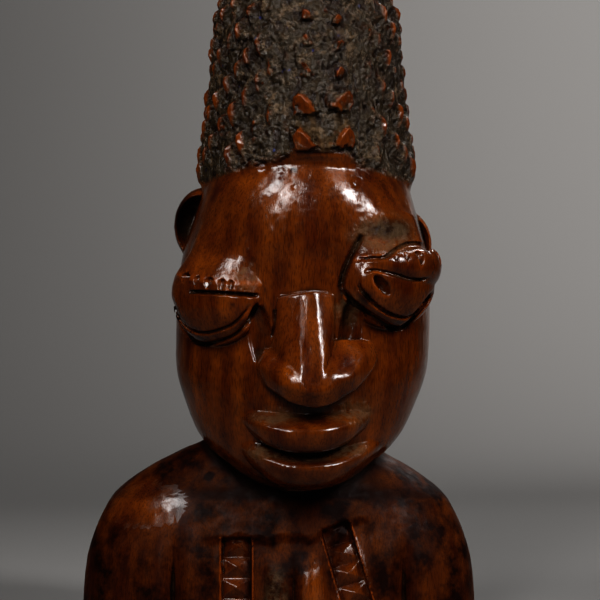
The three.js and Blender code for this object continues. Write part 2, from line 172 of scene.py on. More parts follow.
TORSO_PROFILE = [
    (0.0, 1.0, 0.97, 0.93),
    (0.28, 1.0, 0.98, 0.95),
    (0.52, 0.98, 0.96, 0.95),
    (0.67, 0.945, 0.9, 0.92),
    (0.8, 0.9, 0.82, 0.88),
    (0.92, 0.84, 0.73, 0.82),
    (1.04, 0.72, 0.6, 0.72),
    (1.16, 0.55, 0.47, 0.58),
    (1.26, 0.36, 0.36, 0.44),
    (1.36, 0.12, 0.2, 0.24),
]


def smooth(x, low, high):
    t = np.clip((x - low) / (high - low), 0, 1)
    return t * t * (3 - 2 * t)


def mix(a, b, t):
    return a + (b - a) * t


def join(a, b, k):
    """Two fields joined with a rounding of size k between them."""
    return np.minimum(a, b) - np.maximum(k - np.abs(a - b), 0) ** 2 / (4 * k)


def cut(a, b, k):
    """Field a less field b, with its edge rounded by k."""
    return -join(-a, b, k)


def soft_max(walls, k):
    """The largest of several fields, with the edges between them rounded by k."""
    top = np.maximum.reduce(walls)
    return top + k * np.log(sum(np.exp((wall - top) / k) for wall in walls)) - k * math.log(1.5)


def along(profile, column, heights):
    """One column of a profile at many heights, on a smooth curve through its stations."""
    stations = np.array([row[0] for row in profile])
    values = np.array([row[column] for row in profile])
    slope = np.empty_like(values)
    slope[1:-1] = (values[2:] - values[:-2]) / (stations[2:] - stations[:-2])
    slope[0] = (values[1] - values[0]) / (stations[1] - stations[0])
    slope[-1] = (values[-1] - values[-2]) / (stations[-1] - stations[-2])
    h = np.clip(heights, stations[0], stations[-1])
    i = np.clip(np.searchsorted(stations, h, side="right") - 1, 0, len(stations) - 2)
    span = stations[i + 1] - stations[i]
    t = (h - stations[i]) / span
    return (
        values[i] * (1 + 2 * t) * (1 - t) ** 2
        + values[i + 1] * t * t * (3 - 2 * t)
        + span * (slope[i] * t * (1 - t) ** 2 - slope[i + 1] * t * t * (1 - t))
    )


class Stack:
    """A body of rounded sections stacked up a profile."""

    def __init__(self, profile, base, height, width, depth, power):
        shares = np.linspace(profile[0][0], profile[-1][0], 600)
        half = along(profile, 1, shares) * width / 2
        front = -along(profile, 2, shares) * depth / 2
        back = along(profile, 3, shares) * depth / 2
        self.base = base
        self.height = height
        self.power = power
        self.z = base + shares * height
        self.columns = [half, (front + back) / 2, (back - front) / 2]
        self.slopes = [np.gradient(column, self.z) for column in self.columns]

    def section(self, z):
        """Half width, middle and half depth at a height."""
        return [np.interp(z, self.z, column) for column in self.columns]

    def field(self, x, y, z):
        half, middle, deep = self.section(z)
        d_half, d_middle, d_deep = [np.interp(z, self.z, slope) for slope in self.slopes]
        p = self.power((z - self.base) / self.height)
        u = np.abs(x) / half
        v = (y - middle) / deep
        a = u**p
        b = np.abs(v) ** p
        rho = np.maximum((a + b) ** (1 / p), 1e-4)
        gain = rho ** (1 - p)
        gx = gain * u ** (p - 1) / half
        gy = gain * np.abs(v) ** (p - 1) / deep
        gz = gain * (a * d_half / half + b * d_deep / deep) + gy * np.sign(v) * d_middle
        return (rho - 1) / np.sqrt(gx**2 + gy**2 + gz**2 + 1e-9)


def head_power(h):
    return 2.1 + 0.5 * smooth(h, 0.5, 0.76) * (1 - smooth(h, 0.82, 1))


head = Stack(HEAD_PROFILE, CHIN, FACE_HEIGHT, HEAD_WIDTH, HEAD_DEPTH, head_power)
hair = Stack(HAIR_PROFILE, HAIRLINE, HAIR_HEIGHT, HAIR_WIDTH, HAIR_DEPTH, lambda h: 2.0)
torso = Stack(TORSO_PROFILE, 0, TORSO_HEIGHT, SHOULDER_WIDTH, TORSO_DEPTH, lambda h: 2.3)


def face_x(share):
    return share * HEAD_WIDTH / 2


def face_z(share):
    return CHIN + share * FACE_HEIGHT


def chest_x(share):
    return share * SHOULDER_WIDTH / 2


def lean_at(z):
    return HEAD_LEAN * (np.clip((z - CHIN) / FACE_HEIGHT, 0, 0.9) - 0.5)


def face_front(x, z):
    """Depth of the face's own surface."""
    half, middle, deep = head.section(z)
    across = np.minimum(np.abs((x - lean_at(z)) / half), 1)
    p = head_power((z - CHIN) / FACE_HEIGHT)
    return middle - deep * (1 - across**p) ** (1 / p)


def hairline_at(angle):
    return HAIRLINE - HAIRLINE_DROP * smooth(np.abs(np.sin(angle / 2)), 0, 0.7)


def crust_start(x, y):
    """Where the crust begins above the hairline, which leaves a strip of bare wood over the forehead."""
    bare = 2.6 * smooth(9.5 - np.abs(x - 4.2), 0, 4) * (y < 0)
    return hairline_at(np.arctan2(x, -y)) + bare


def ellipsoid(x, y, z, radii):
    u, v, w = x / radii[0], y / radii[1], z / radii[2]
    near = np.sqrt(u**2 + v**2 + w**2)
    far = np.sqrt((u / radii[0]) ** 2 + (v / radii[1]) ** 2 + (w / radii[2]) ** 2)
    return near * (near - 1) / np.maximum(far, 1e-6)


def turned(a, b, angle):
    """The two coordinates of points, seen from axes that are turned by an angle."""
    c, s = math.cos(angle), math.sin(angle)
    return a * c + b * s, b * c - a * s


def curved(path, steps=6):
    """More points on a smooth curve through a path of points."""
    p = np.array(path, float)
    if len(p) == 2:
        return p
    ends = np.vstack([2 * p[0] - p[1], p, 2 * p[-1] - p[-2]])
    points = []
    for i in range(len(p) - 1):
        a, b, c, d = ends[i : i + 4]
        for t in np.arange(steps) / steps:
            square = (2 * a - 5 * b + 4 * c - d) * t**2
            cube = (3 * b - a - 3 * c + d) * t**3
            points.append(0.5 * (2 * b + (c - a) * t + square + cube))
    return np.array(points + [p[-1]])


def off_path(x, z, path):
    """Distance from a path drawn on the front, and the share of the path's length there."""
    points = curved(path)
    lengths = np.hypot(*(points[1:] - points[:-1]).T)
    total = lengths.sum()
    nearest = np.full(x.shape, 1e6)
    share = np.zeros(x.shape)
    done = 0.0
    for (ax, az), (bx, bz), length in zip(points[:-1], points[1:], lengths):
        dx, dz = bx - ax, bz - az
        t = np.clip(((x - ax) * dx + (z - az) * dz) / length**2, 0, 1)
        away = np.hypot(x - ax - t * dx, z - az - t * dz)
        closer = away < nearest
        nearest = np.where(closer, away, nearest)
        share = np.where(closer, (done + t * length) / total, share)
        done += length
    return nearest, share


class Eye:
    """An eyeball under its brow, in axes of its own: u across, v inwards, w up."""

    def __init__(self, side, height, centre, roll, brow_top):
        self.side = side
        self.radii = EYE_WIDTH / 2, EYE_BULGE, height / 2
        self.turn = side * math.radians(EYE_TURN)
        self.roll = math.radians(roll)
        self.brow_top = brow_top * height / 2
        self.edge = LID_EDGE * height / 2
        x, z = face_x(centre[0]), face_z(centre[1])
        inset = 0.18 * EYE_BULGE
        y = float(face_front(x, z)) + inset * math.cos(self.turn)
        self.centre = x - inset * math.sin(self.turn), y, z

    def local(self, x, y, z):
        u, v = turned(x - self.centre[0], y - self.centre[1], self.turn)
        w, u = turned(z - self.centre[2], u, self.roll)
        return u, v, w

    def ball(self, u, v, w):
        return ellipsoid(u, v, w, self.radii)

    def brow(self, u, v, w):
        """Facets that lean back from the lid's edge to the top of the brow."""
        rx, ry, rz = self.radii
        low = math.sqrt(1 - LID_EDGE**2)
        t = (w - self.edge) / (self.brow_top - self.edge)
        walls = []
        for k in range(-4, 5):
            angle = k * math.pi / 9
            s, c = math.sin(angle), math.cos(angle)
            wide = math.hypot(rx * low * s, ry * low * c)
            narrow = math.hypot(0.5 * rx * s, 0.1 * ry * c)
            slope = (wide - narrow) / (self.brow_top - self.edge)
            walls.append((u * s - v * c - mix(wide, narrow, t)) / math.hypot(1, slope))
        walls.append(self.edge - 0.2 - w)
        walls.append((w - self.brow_top) * 0.7)
        walls.append(v - 0.5 * ry)
        return soft_max(walls, 0.22)


left_eye = Eye(-1, LEFT_EYE_HEIGHT, (-0.665, 0.588), 5, 1.2)
right_eye = Eye(1, RIGHT_EYE_HEIGHT, (0.665, 0.632), 7, 1.45)


def heavy_lid(u, v, w):
    """The roll that stands out over the open eye, thicker outwards, with a blunt end."""
    rx, ry, rz = right_eye.radii
    angle = np.arctan2(u / rx, -v / ry)
    share = np.clip((angle - math.radians(-66)) / math.radians(66 + 74), 0, 1)
    level = mix(LID_EDGE, LID_EDGE + 0.06, share)
    turn = mix(math.radians(-66), math.radians(74), share)
    thick = LID_ROLL * mix(0.3, 1, smooth(share, 0, 0.8))
    across = 0.93 * np.sqrt(1 - level**2)
    mu, mv = rx * across * np.sin(turn), -ry * across * np.cos(turn)
    out = np.hypot(u - mu, v - mv)
    return (np.hypot(out / 0.68, w - rz * level) - thick) * 0.8


# Nicks cut into the lids' edges, each by its angle round the eye, width and length downwards.
LEFT_NICKS = [(-24, 4.4, 1.5), (-3, 2.2, 1.5), (14, 2.7, 2.0), (31, 2.2, 2.2), (43, 1.8, 2.2)]
RIGHT_NICKS = [(-52, 1.6, 1.6), (-38, 2.2, 1.9), (-22, 2.2, 2.3)]
RIGHT_NICKS += [(-9, 1.9, 2.0), (8, 2.6, 2.6), (46, 1.6, 1.5)]


def nicked(field, eye, u, v, w, nicks, level, out):
    """Cuts pointed nicks into a lid's edge at a level, where the skin stands out by a given amount."""
    rx, ry, rz = eye.radii
    for angle, width, length in nicks:
        a = math.radians(angle)
        low = math.sqrt(1 - LID_EDGE**2)
        mu, mv = rx * low * math.sin(a), -ry * low * math.cos(a)
        nu, nv = math.sin(a) / rx, -math.cos(a) / ry
        size = math.hypot(nu, nv)
        nu, nv = nu / size, nv / size
        side = np.abs((u - mu) * -nv + (v - mv) * nu)
        inwards = np.maximum(out - (u - mu) * nu - (v - mv) * nv, 0)
        down = np.maximum(level - w, 0) / length + np.maximum(w - level - 0.5, 0) / 0.9
        notch = side / (width / 2) + down + inwards / (0.55 * width) - 1
        reach = (w < level + 4) & (side < width)
        field = np.where(reach, cut(field, notch * 0.45 * width, 0.15), field)
    return field


# The nose: points are shares of half its width, of its length above the underside, and of how far the
# tip stands out.
NOSE_BRIDGE = [
    (-0.45, 0.93, -0.3),
    (-0.5, 0.94, 0.04),
    (-0.3, 0.96, 0.18),
    (-0.1, 0.97, 0.26),
    (0.13, 1.0, 0.24),
    (0.47, 0.95, 0.0),
    (0.47, 0.95, -0.3),
    (-0.62, 0.5, 0.05),
    (-0.53, 0.28, 0.42),
    (-0.36, 0.28, 0.72),
    (-0.12, 0.28, 0.91),
    (0.28, 0.29, 0.87),
    (0.44, 0.3, 0.3),
    (-0.5, 0.2, -0.3),
    (0.44, 0.2, -0.3),
    (-0.1, 0.2, 0.96),
    (0.24, 0.2, 0.93),
]
NOSTRILS = [
    (-0.72, 0.5, -0.1),
    (-0.4, 0.54, 0.15),
    (-0.31, 0.3, 0.86),
    (-0.76, 0.36, 0.42),
    (-0.86, 0.33, 0.12),
    (-0.86, 0.33, -0.3),
    (-0.68, 0.18, 0.42),
    (-0.3, 0.05, 0.72),
    (0.13, 0.0, 0.8),
    (0.46, 0.04, 0.76),
    (0.86, 0.17, 0.52),
    (1.12, 0.32, 0.26),
    (1.18, 0.42, 0.1),
    (1.18, 0.42, -0.3),
    (-0.4, 0.2, 0.88),
    (0.0, 0.15, 1.0),
    (0.3, 0.15, 1.0),
    (0.74, 0.27, 0.84),
    (0.43, 0.28, 0.9),
    (0.97, 0.45, 0.45),
    (0.68, 0.58, 0.15),
    (1.1, 0.56, -0.1),
    (-0.68, 0.18, -0.3),
    (0.13, 0.0, -0.3),
    (0.86, 0.17, -0.3),
]


def hull_walls(points):
    """The planes round a convex hull of points, each as a normal and a distance."""
    mesh = bmesh.new()
    corners = [mesh.verts.new(point) for point in points]
    bmesh.ops.convex_hull(mesh, input=corners)
    bmesh.ops.recalc_face_normals(mesh, faces=mesh.faces)
    mesh.normal_update()
    walls = {}
    for face in mesh.faces:
        n = face.normal
        away = n.dot(face.calc_center_median())
        walls[tuple(round(c, 2) for c in (*n, away))] = (*n, away)
    mesh.free()
    return list(walls.values())


def nose_walls(shares):
    bottom = face_z(0.615) - NOSE_LENGTH
    points = []
    for across, up, out in shares:
        x = face_x(0.03) + across * NOSE_WIDTH / 2
        z = bottom + up * NOSE_LENGTH
        points.append((x, float(face_front(x, z)) - out * NOSE_STAND, z))
    return hull_walls(points)


NOSE_HULLS = [nose_walls(NOSE_BRIDGE), nose_walls(NOSTRILS)]


def nose(x, y, z):
    hulls = [soft_max([x * a + y * b + z * c - d for a, b, c, d in walls], 0.2) for walls in NOSE_HULLS]
    return join(*hulls, 0.5)


def section_field(y, z, corners, k):
    """Distance outside a convex section whose corners run round it, with edges rounded by k."""
    walls = []
    for (y0, z0), (y1, z1) in zip(corners, corners[1:] + corners[:1]):
        dy, dz = y1 - y0, z1 - z0
        walls.append(((y - y0) * dz - (z - z0) * dy) / np.hypot(dy, dz))
    return soft_max(walls, k)


def lip(x, y, z, middle_height, height, rise, at, half):
    """A crescent that stands out of the face, its upper side sloping in and its ends turned up."""
    share = np.clip((x - at) / half, -1, 1)
    middle = middle_height + rise * np.abs(share) ** 2.4
    thick = height / 2 * np.sqrt(1 - 0.92 * share**2)
    root = face_front(x, z)
    front = root - LIP_STAND * (1.03 - np.abs(share) ** 3)
    inside = root + 0.45 * LIP_STAND
    corners = [
        (inside, middle + thick + height * 0.7),
        (front + 0.04 * LIP_STAND, middle + thick),
        (front, middle + 0.88 * thick),
        (front + 0.06 * LIP_STAND, middle - 0.5 * thick),
        (front + 0.25 * LIP_STAND, middle - thick),
        (inside, middle - thick * 0.8),
    ]
    return np.maximum(section_field(y, z, corners, 0.35), np.abs(x - at) - half)


def ear(side, x, y, z):
    size = 1 if side < 0 else 0.92
    rx, ry, rz = [whole / 2 * size for whole in (EAR_WIDTH, EAR_DEPTH, EAR_HEIGHT)]
    u, v = turned(x - side * (face_x(1) - rx), y - 0.06 * HEAD_DEPTH, side * 0.35)
    w = z - face_z(0.792 if side < 0 else 0.733)
    shell = ellipsoid(u, v, w, (rx, ry, rz))
    hollow = ellipsoid(u, v + 0.65 * ry, w, (rx - EAR_WALL, ry, rz - EAR_WALL))
    return cut(shell, hollow, 0.5)


# Lines cut into the face: half width and depth in millimetres, then the path from the head's axis and
# the underside, as the figure is looked at.
FACE_GROOVES = [
    (0.6, 0.8, [
        (12.6, 92.6), (16.0, 92.8), (19.0, 93.1), (21.5, 94.8), (24.5, 96.0), (28.2, 95.4), (30.5, 93.0),
    ]),
    (0.5, 0.6, [(-6.5, 81.2), (-6.6, 77.5), (-7.3, 74.0)]),
    (0.95, 1.7, [(13.7, 98.3), (12.0, 95.2), (10.6, 92.3), (9.2, 88.6), (8.8, 85.6)]),
    (0.7, 1.3, [
        (8.6, 86.4), (10.8, 83.6), (13.2, 81.4), (17.8, 78.2), (20.9, 76.4), (24.0, 77.0), (30.2, 84),
    ]),
    (0.6, 0.9, [(-29.8, 77.4), (-26.8, 74.0), (-23.6, 72.4), (-17.0, 74.4), (-13.2, 77.8), (-10.4, 83.0)]),
    (0.5, 0.8, [(-30.9, 83.4), (-28.4, 77.4), (-23.6, 75.3), (-17.2, 77.1), (-14.0, 79.8), (-12.2, 82.4)]),
    (0.5, 1.0, [(12.8, 88.6), (13.4, 85.6), (16.6, 82.2), (20.9, 79.5), (25.4, 79.3), (30.5, 85)]),
    (0.45, 0.8, [(14.2, 89.8), (16.6, 90.2), (20.9, 89.2), (25.4, 87.8), (29.3, 88)]),
    (0.55, 1.7, [(-26.8, 84.9), (-22, 84.9), (-16, 84.7), (-10.2, 84.2)]),
]
# The grooves run out on the sides of the head, between these two depths.
GROOVE_END = (-12.0, -1.0)
# Small dents in the forehead: place, radius and depth, and how deep the ring round its middle is.
DENTS = [
    (-9.3, 112.8, 1.1, 0.16, 0),
    (-8.5, 113.5, 0.9, 0.14, 0),
    (-2.2, 109.4, 0.6, 0.14, 0),
    (12.6, 110.6, 1.5, 0, 0.13),
    (13.0, 110.2, 0.7, 0.08, 0),
    (-4.9, 113.4, 1.0, 0, 0.1),
    (17.3, 105.5, 0.7, 0.16, 0),
    (8.4, 100.9, 0.6, 0.12, 0),
]


def skin_of_head(x, y, z):
    """The head with its features and without its coiffure, from the head's own axis."""
    lean = lean_at(z)
    field = head.field(x - lean, y, z)
    field = np.maximum(field, CHIN - 0.3 - z)
    front = y < 2

    def part(low, high):
        """The points of the front between two heights, which are all that a feature there can reach."""
        return front & (z > low) & (z < high)

    for eye in (left_eye, right_eye):
        here = part(eye.centre[2] - 15, eye.centre[2] + 20) & (x * eye.side > 2)
        u, v, w = eye.local(x[here], y[here], z[here])
        bare = field[here]
        softness = mix(0.3, 3.5, smooth(w, eye.edge, eye.brow_top))
        shape = np.maximum(eye.ball(u, v, w), w - eye.edge)
        carved = join(bare, join(shape, eye.brow(u, v, w), 0.15), softness)
        if eye is right_eye:
            carved = join(carved, heavy_lid(u, v, w), LID_FILLET)
            carved = nicked(carved, eye, u, v, w, RIGHT_NICKS, eye.edge + 3.0, 0.3)
            across, up = turned(u + 7.3, w + 0.9, 0.75)
            carved = cut(carved, ellipsoid(across, v + 7.0, up, (1.1, 2.6, 2.9)), 0.5)
        else:
            carved = nicked(carved, eye, u, v, w, LEFT_NICKS, eye.edge + 0.1, 0.0)
        field[here] = carved

    for side, across, up in ((-1, -0.31, 0.47), (1, 0.36, 0.5)):
        here = part(50, 110)
        cx, cz = face_x(across), face_z(up)
        u, w = turned(x[here] - cx, z[here] - cz, side * math.radians(-12))
        hollow = ellipsoid(u, y[here] - float(face_front(cx, cz)), w, (2.6, 2.6, 0.1 * FACE_HEIGHT))
        field[here] = cut(field[here], hollow, CHEEK_FILLET)

    here = part(50, 96) & (np.abs(x - 2) < 22)
    field[here] = join(field[here], nose(x[here], y[here], z[here]), NOSE_FILLET)
    here = part(CHIN - 4, 64) & (np.abs(x) < 19)
    for middle, height, rise, at, half in (
        (0.162, UPPER_LIP, UPPER_LIP_RISE, face_x(0.02), MOUTH_WIDTH / 2),
        (0.046, LOWER_LIP, LOWER_LIP_RISE, face_x(0.06), MOUTH_WIDTH / 2 * 1.1),
    ):
        shape = lip(x[here], y[here], z[here], face_z(middle), height, rise, at, half)
        field[here] = join(field[here], shape, LIP_FILLET)

    for half, depth, path in FACE_GROOVES:
        spread = np.array(path)
        low, high = spread.min(axis=0) - 2, spread.max(axis=0) + 2
        here = part(low[1], high[1]) & (x > low[0]) & (x < high[0])
        away, share = off_path(x[here], z[here], path)
        fade = smooth(share, -0.02, 0.12) * (1 - smooth(share, 0.88, 1.02))
        fade *= 1 - smooth(y[here], *GROOVE_END)
        field[here] += depth * fade * np.maximum(1 - away / half, 0) ** 0.8

    for cx, cz, radius, depth, ring in DENTS:
        here = part(cz - 3, cz + 3) & (np.abs(x - cx) < 3)
        away = np.hypot(x[here] - cx, z[here] - cz) / radius
        field[here] += depth * np.maximum(1 - away**2, 0) + ring * np.maximum(1 - (away - 0.7) ** 2 / 0.09, 0)

    for side in (-1, 1):
        here = (x * side > 12) & (z > 80) & (z < 116)
        field[here] = join(field[here], ear(side, x[here], y[here], z[here]), EAR_FILLET)
    return field


def skin_of_hair(x, y, z):
    """The coiffure without its studs."""
    angle = np.arctan2(x, -y)
    field = hair.field(x - lean_at(z), y, z) - HAIR_LEDGE * 0.4
    field = cut(field, z - hairline_at(angle), 3.2)
    return np.maximum(field, z - TIP + 0.5)


def skin_of_torso(x, y, z):
    """Chest, shoulders and neck, from the shoulders' middle."""
    share = z / TORSO_HEIGHT
    field = torso.field(x, y, z)
    for place in (-0.53, 0.63):
        across = np.abs(x - chest_x(place)) / (ARM_GROOVE_WIDTH / 2)
        field += ARM_GROOVE * 0.8 * np.maximum(1 - across, 0) ** 1.5 * (1 - smooth(share, 0.3, 0.75))
    neckline = NECKLINE + 4.5 * smooth(x, 5, 21) + 0.4 * np.sin(0.55 * x) + 0.25 * np.sin(1.3 * x + 1)
    below = (1 - smooth(z, neckline - 2.0, neckline + 0.8)) * (y < 0)
    panel = 1 - smooth(np.abs(x - chest_x(0.04)), chest_x(0.36), chest_x(0.45))
    field += NECKLINE_STEP * below * panel
    for side in (-1, 1):
        across = (x - NECK_SHIFT) / (BREAST_WIDTH / 2) - side
        field -= BREAST_STAND * np.maximum(1 - across**2, 0) * (1 - smooth(share, 0.4, 0.62)) * (y < 0)
    for top, bottom, start in ((-0.21, -0.21, NECKLINE), (0.28, 0.45, NECKLINE + 2.8)):
        field = band(field, x, y, z, chest_x(top), chest_x(bottom), start)
    field = np.maximum(field, z - 1.4 * TORSO_HEIGHT)
    neck = np.hypot(x - NECK_SHIFT, y - 0.065 * TORSO_DEPTH) - NECK_WIDTH / 2
    return join(field, np.maximum(neck, z - 1.4 * TORSO_HEIGHT), NECK_FILLET)


def band(field, x, y, z, top_x, bottom_x, start):
    """A band of pyramid chips down the chest, between thin raised borders."""
    lean = math.atan2(bottom_x - top_x, NECKLINE)
    across, down = turned(x - top_x, start - z, -lean)
    inside = smooth(BAND_WIDTH / 2 - np.abs(across), 0, 0.5) * smooth(down, -0.2, 1.4) * (y < 0)
    phase = np.mod(down / CHIP_PITCH, 1)
    row = np.floor(down / CHIP_PITCH)
    apex = 0.3 * np.sin(row * 2.4 + 1)
    steep = np.where(phase < 0.4, 1 - phase / 0.4, (phase - 0.4) / 0.6)
    wide = np.abs(across - apex) / (BAND_WIDTH / 2)
    sunk = np.clip(np.maximum(steep * 1.05, wide) - 0.05, 0, 1)
    border = np.maximum(1 - np.abs(np.abs(across) - BAND_WIDTH / 2) / 0.45, 0) * (down > 0) * (y < 0)
    return field + CHIP_DEPTH * inside * (0.12 + 0.88 * sunk) - 0.25 * border


def carve(points, studs=None):
    """The whole carving as a field over points in millimetres: below 0 inside the wood."""
    x, y, z = points.T.astype(np.float64)
    field = np.full(x.shape, FAR)
    low = z < TORSO_TOP
    field[low] = skin_of_torso(x[low], y[low], z[low])
    high = z > CHIN - HEAD_OVERLAP
    hx, hy, hz = x[high] - HEAD_SHIFT, y[high], z[high]
    whole = np.full(hx.shape, FAR)
    face = hz < HAIRLINE + HEAD_OVERLAP
    whole[face] = skin_of_head(hx[face], hy[face], hz[face])
    crown = hz > HAIRLINE - HAIRLINE_DROP - CROWN_OVERLAP
    dome = skin_of_hair(hx[crown], hy[crown], hz[crown])
    if studs is not None:
        dome = join(dome, studs(points[high][crown]), STUD_FILLET)
    whole[crown] = join(whole[crown], dome, HAIR_FILLET)
    field[high] = join(field[high], whole, CHIN_FILLET)
    return np.maximum(field, -z)


def linear(code):
    """An sRGB colour, given as six hex digits, in linear light."""
    parts = [int(code[i : i + 2], 16) / 255 for i in (0, 2, 4)]
    return [c / 12.92 if c <= 0.04045 else ((c + 0.055) / 1.055) ** 2.4 for c in parts]


def add(tree, kind, inputs=(), **settings):
    """A new node with its settings, and a value or a link for each of its inputs, by name or in order. A
    node among them stands for the first of its outputs that is in use."""
    node = tree.nodes.new(kind)
    for name, value in settings.items():
        setattr(node, name, value)
    for name, value in inputs.items() if isinstance(inputs, dict) else enumerate(inputs):
        if isinstance(value, bpy.types.Node):
            value = next(socket for socket in value.outputs if socket.enabled)
        if isinstance(value, bpy.types.NodeSocket):
            tree.links.new(value, node.inputs[name])
        else:
            node.inputs[name].default_value = value
    return node


def shown(name, data):
    """A new object in the scene."""
    item = bpy.data.objects.new(name, data)
    bpy.context.scene.collection.objects.link(item)
    return item


def made_plain(item):
    """The mesh that an object's modifiers make of it, in place of the object."""
    data = bpy.data.meshes.new_from_object(item.evaluated_get(bpy.context.evaluated_depsgraph_get()))
    bpy.data.objects.remove(item)
    return data


def kept(data, name, values):
    """Keeps a value, or three of them, for each point of a mesh as an attribute."""
    kind, key = ("FLOAT", "value") if values.ndim == 1 else ("FLOAT_VECTOR", "vector")
    data.attributes.new(name, kind, "POINT").data.foreach_set(key, values.astype(np.float32).ravel())


def values_of(items, name, size, kind):
    """A value of each item of a mesh, as the rows of an array."""
    values = np.empty(len(items) * size, kind)
    items.foreach_get(name, values)
    return values.reshape(-1, size)


# The studs of the coiffure: the two directions of their lattice, outwards and up, either side of a
# line down the front, where two columns of larger knobs meet in V cuts.
STUD_OUT = (3.6, -3.4)
STUD_DOWN = (-3.6, -6.7)
FRONT_TURN = 0.165
COLUMN_START = 12.6
COLUMN_TOP = 126.0
# Either column's knobs, from the lowest up: height and size.
KNOB_OUT = 5.6
KNOBS = {
    -1: (
        (119.6, 1.08), (128.0, 1.15), (136.2, 0.7), (143.2, 0.55), (148.9, 0.55), (154.4, 0.5), (159.6, 0.45),
    ),
    1: (
        (120.2, 1.08), (128.8, 1.1), (135.6, 0.62), (142.0, 0.62), (147.9, 0.6), (153.4, 0.5), (158.8, 0.45),
    ),
}
# What every stud and knob is told: its facing, its climb, its size, its share of the height, its side.
STUD_VALUES = (
    ("facing", "FLOAT_VECTOR"),
    ("climb", "FLOAT_VECTOR"),
    ("size", "FLOAT"),
    ("rise", "FLOAT"),
    ("side", "FLOAT"),
)
STUD_VOXEL = 0.28

# One stud and one knob, in millimetres: the base's corners, the crest's corners with their share of the
# height, and the faces between them. A stud rises slowly from the inner side and drops steeply outwards.
STUD_BASE = [(0.3, 4.4), (2.1, 3.2), (3.0, 1.5), (2.3, -1.3)]
STUD_BASE += [(0.4, -4.3), (-1.6, -2.9), (-2.7, -1.2), (-1.5, 1.6)]
STUD_CREST = [(0.5, 3.0, 0.6), (1.3, 2.1, 0.97), (1.5, 0.7, 1.0), (1.1, -1.3, 0.75), (0.5, -3.0, 0.35)]
STUD_FACES = [(0, 1, 9, 8), (1, 2, 10, 9), (2, 3, 11, 10), (3, 4, 12, 11)]
STUD_FACES += [(4, 5, 12), (5, 11, 12), (5, 6, 11), (6, 10, 11), (6, 7, 10), (7, 9, 10), (7, 8, 9), (7, 0, 8)]
KNOB_BASE = [(1.1, -2.2), (1.9, 0.0), (1.7, 1.7), (0.6, 3.3)]
KNOB_BASE += [(-0.8, 3.1), (-2.7, 1.5), (-4.2, -1.1), (-2.0, -2.3)]
KNOB_CREST = [(0.7, -1.6, 0.6), (1.3, 0.1, 0.65), (1.0, 1.4, 0.85), (0.2, 2.4, 0.95)]
KNOB_CREST += [(-0.6, 2.1, 1.1), (-2.0, 0.7, 1.1), (-3.1, -1.1, 0.8), (-1.7, -1.8, 0.6)]
KNOB_FACES = [(i, (i + 1) % 8, 8 + (i + 1) % 8, 8 + i) for i in range(8)] + [tuple(range(8, 16))]


def on_coiffure(side, out, z):
    """A place on the coiffure, with the ways that the skin faces and climbs there."""
    turn = FRONT_TURN + side * out / (HAIR_WIDTH / 2)

    def place(turn, z):
        half, middle, deep = hair.section(z)
        lean = lean_at(z)
        return Vector((HEAD_SHIFT + lean + half * math.sin(turn), middle - deep * math.cos(turn), z))

    here = place(turn, z)
    climb = (place(turn, z + 0.5) - place(turn, z - 0.5)).normalized()
    round_it = (place(turn + 0.01, z) - place(turn - 0.01, z)).normalized()
    return here, round_it.cross(climb).normalized(), climb


def stud_places():
    """Every stud's place, facing, climb, size, height share and side."""
    random = np.random.default_rng(5)
    rows = []
    span = STUD_OUT[1] + STUD_DOWN[1]
    columns = int((math.pi * HAIR_WIDTH / 2 - COLUMN_START) / STUD_OUT[0]) + 1
    for side in (-1, 1):
        for column in range(columns):
            out = COLUMN_START + column * STUD_OUT[0]
            turn = out / (HAIR_WIDTH / 2)
            low = float(hairline_at(FRONT_TURN + side * turn))
            z = COLUMN_TOP + column * STUD_OUT[1] - 6 * abs(span)
            while z < TIP - 3:
                half = hair.section(z)[0] * 2 / HAIR_WIDTH
                skip = 1 if half > 0.62 else 2 if half > 0.34 else 4
                if z > low + 2.2 and column % skip == 0:
                    wobble = random.normal(0, 0.35, 2)
                    here, facing, climb = on_coiffure(side, out + wobble[0], z + wobble[1])
                    size = half * skip**0.8
                    worn = mix(0.55, 1, float(smooth(out, 12, 18))) * min(1, size)
                    rows.append((here, facing, climb, size, worn, side))
                z -= span * min(1, half * skip**0.8 + 0.08)
    return rows


def knob_places():
    """Every knob's place, facing, climb, size, height share and side."""
    rows = []
    for side, knobs in KNOBS.items():
        for z, size in knobs:
            place = on_coiffure(side, KNOB_OUT * mix(0.6, 1, size), z)
            rows.append((*place, size, mix(0.45, 0.9, size), side))
    return rows


def one_of(name, base, crest, faces):
    """One stud or knob: its crest over its base, and a skirt that is sunk into the wood."""
    mesh = bmesh.new()
    ring = [mesh.verts.new((x, y, 0)) for x, y in base]
    top = [mesh.verts.new(point) for point in crest]
    sunk = [mesh.verts.new((x, y, -0.9)) for x, y in base]
    for face in faces:
        mesh.faces.new([(ring + top)[i] for i in face])
    for i in range(len(ring)):
        j = (i + 1) % len(ring)
        mesh.faces.new((sunk[i], sunk[j], ring[j], ring[i]))
    mesh.faces.new(sunk[::-1])
    bmesh.ops.recalc_face_normals(mesh, faces=mesh.faces)
    data = bpy.data.meshes.new(name)
    mesh.to_mesh(data)
    mesh.free()
    return data


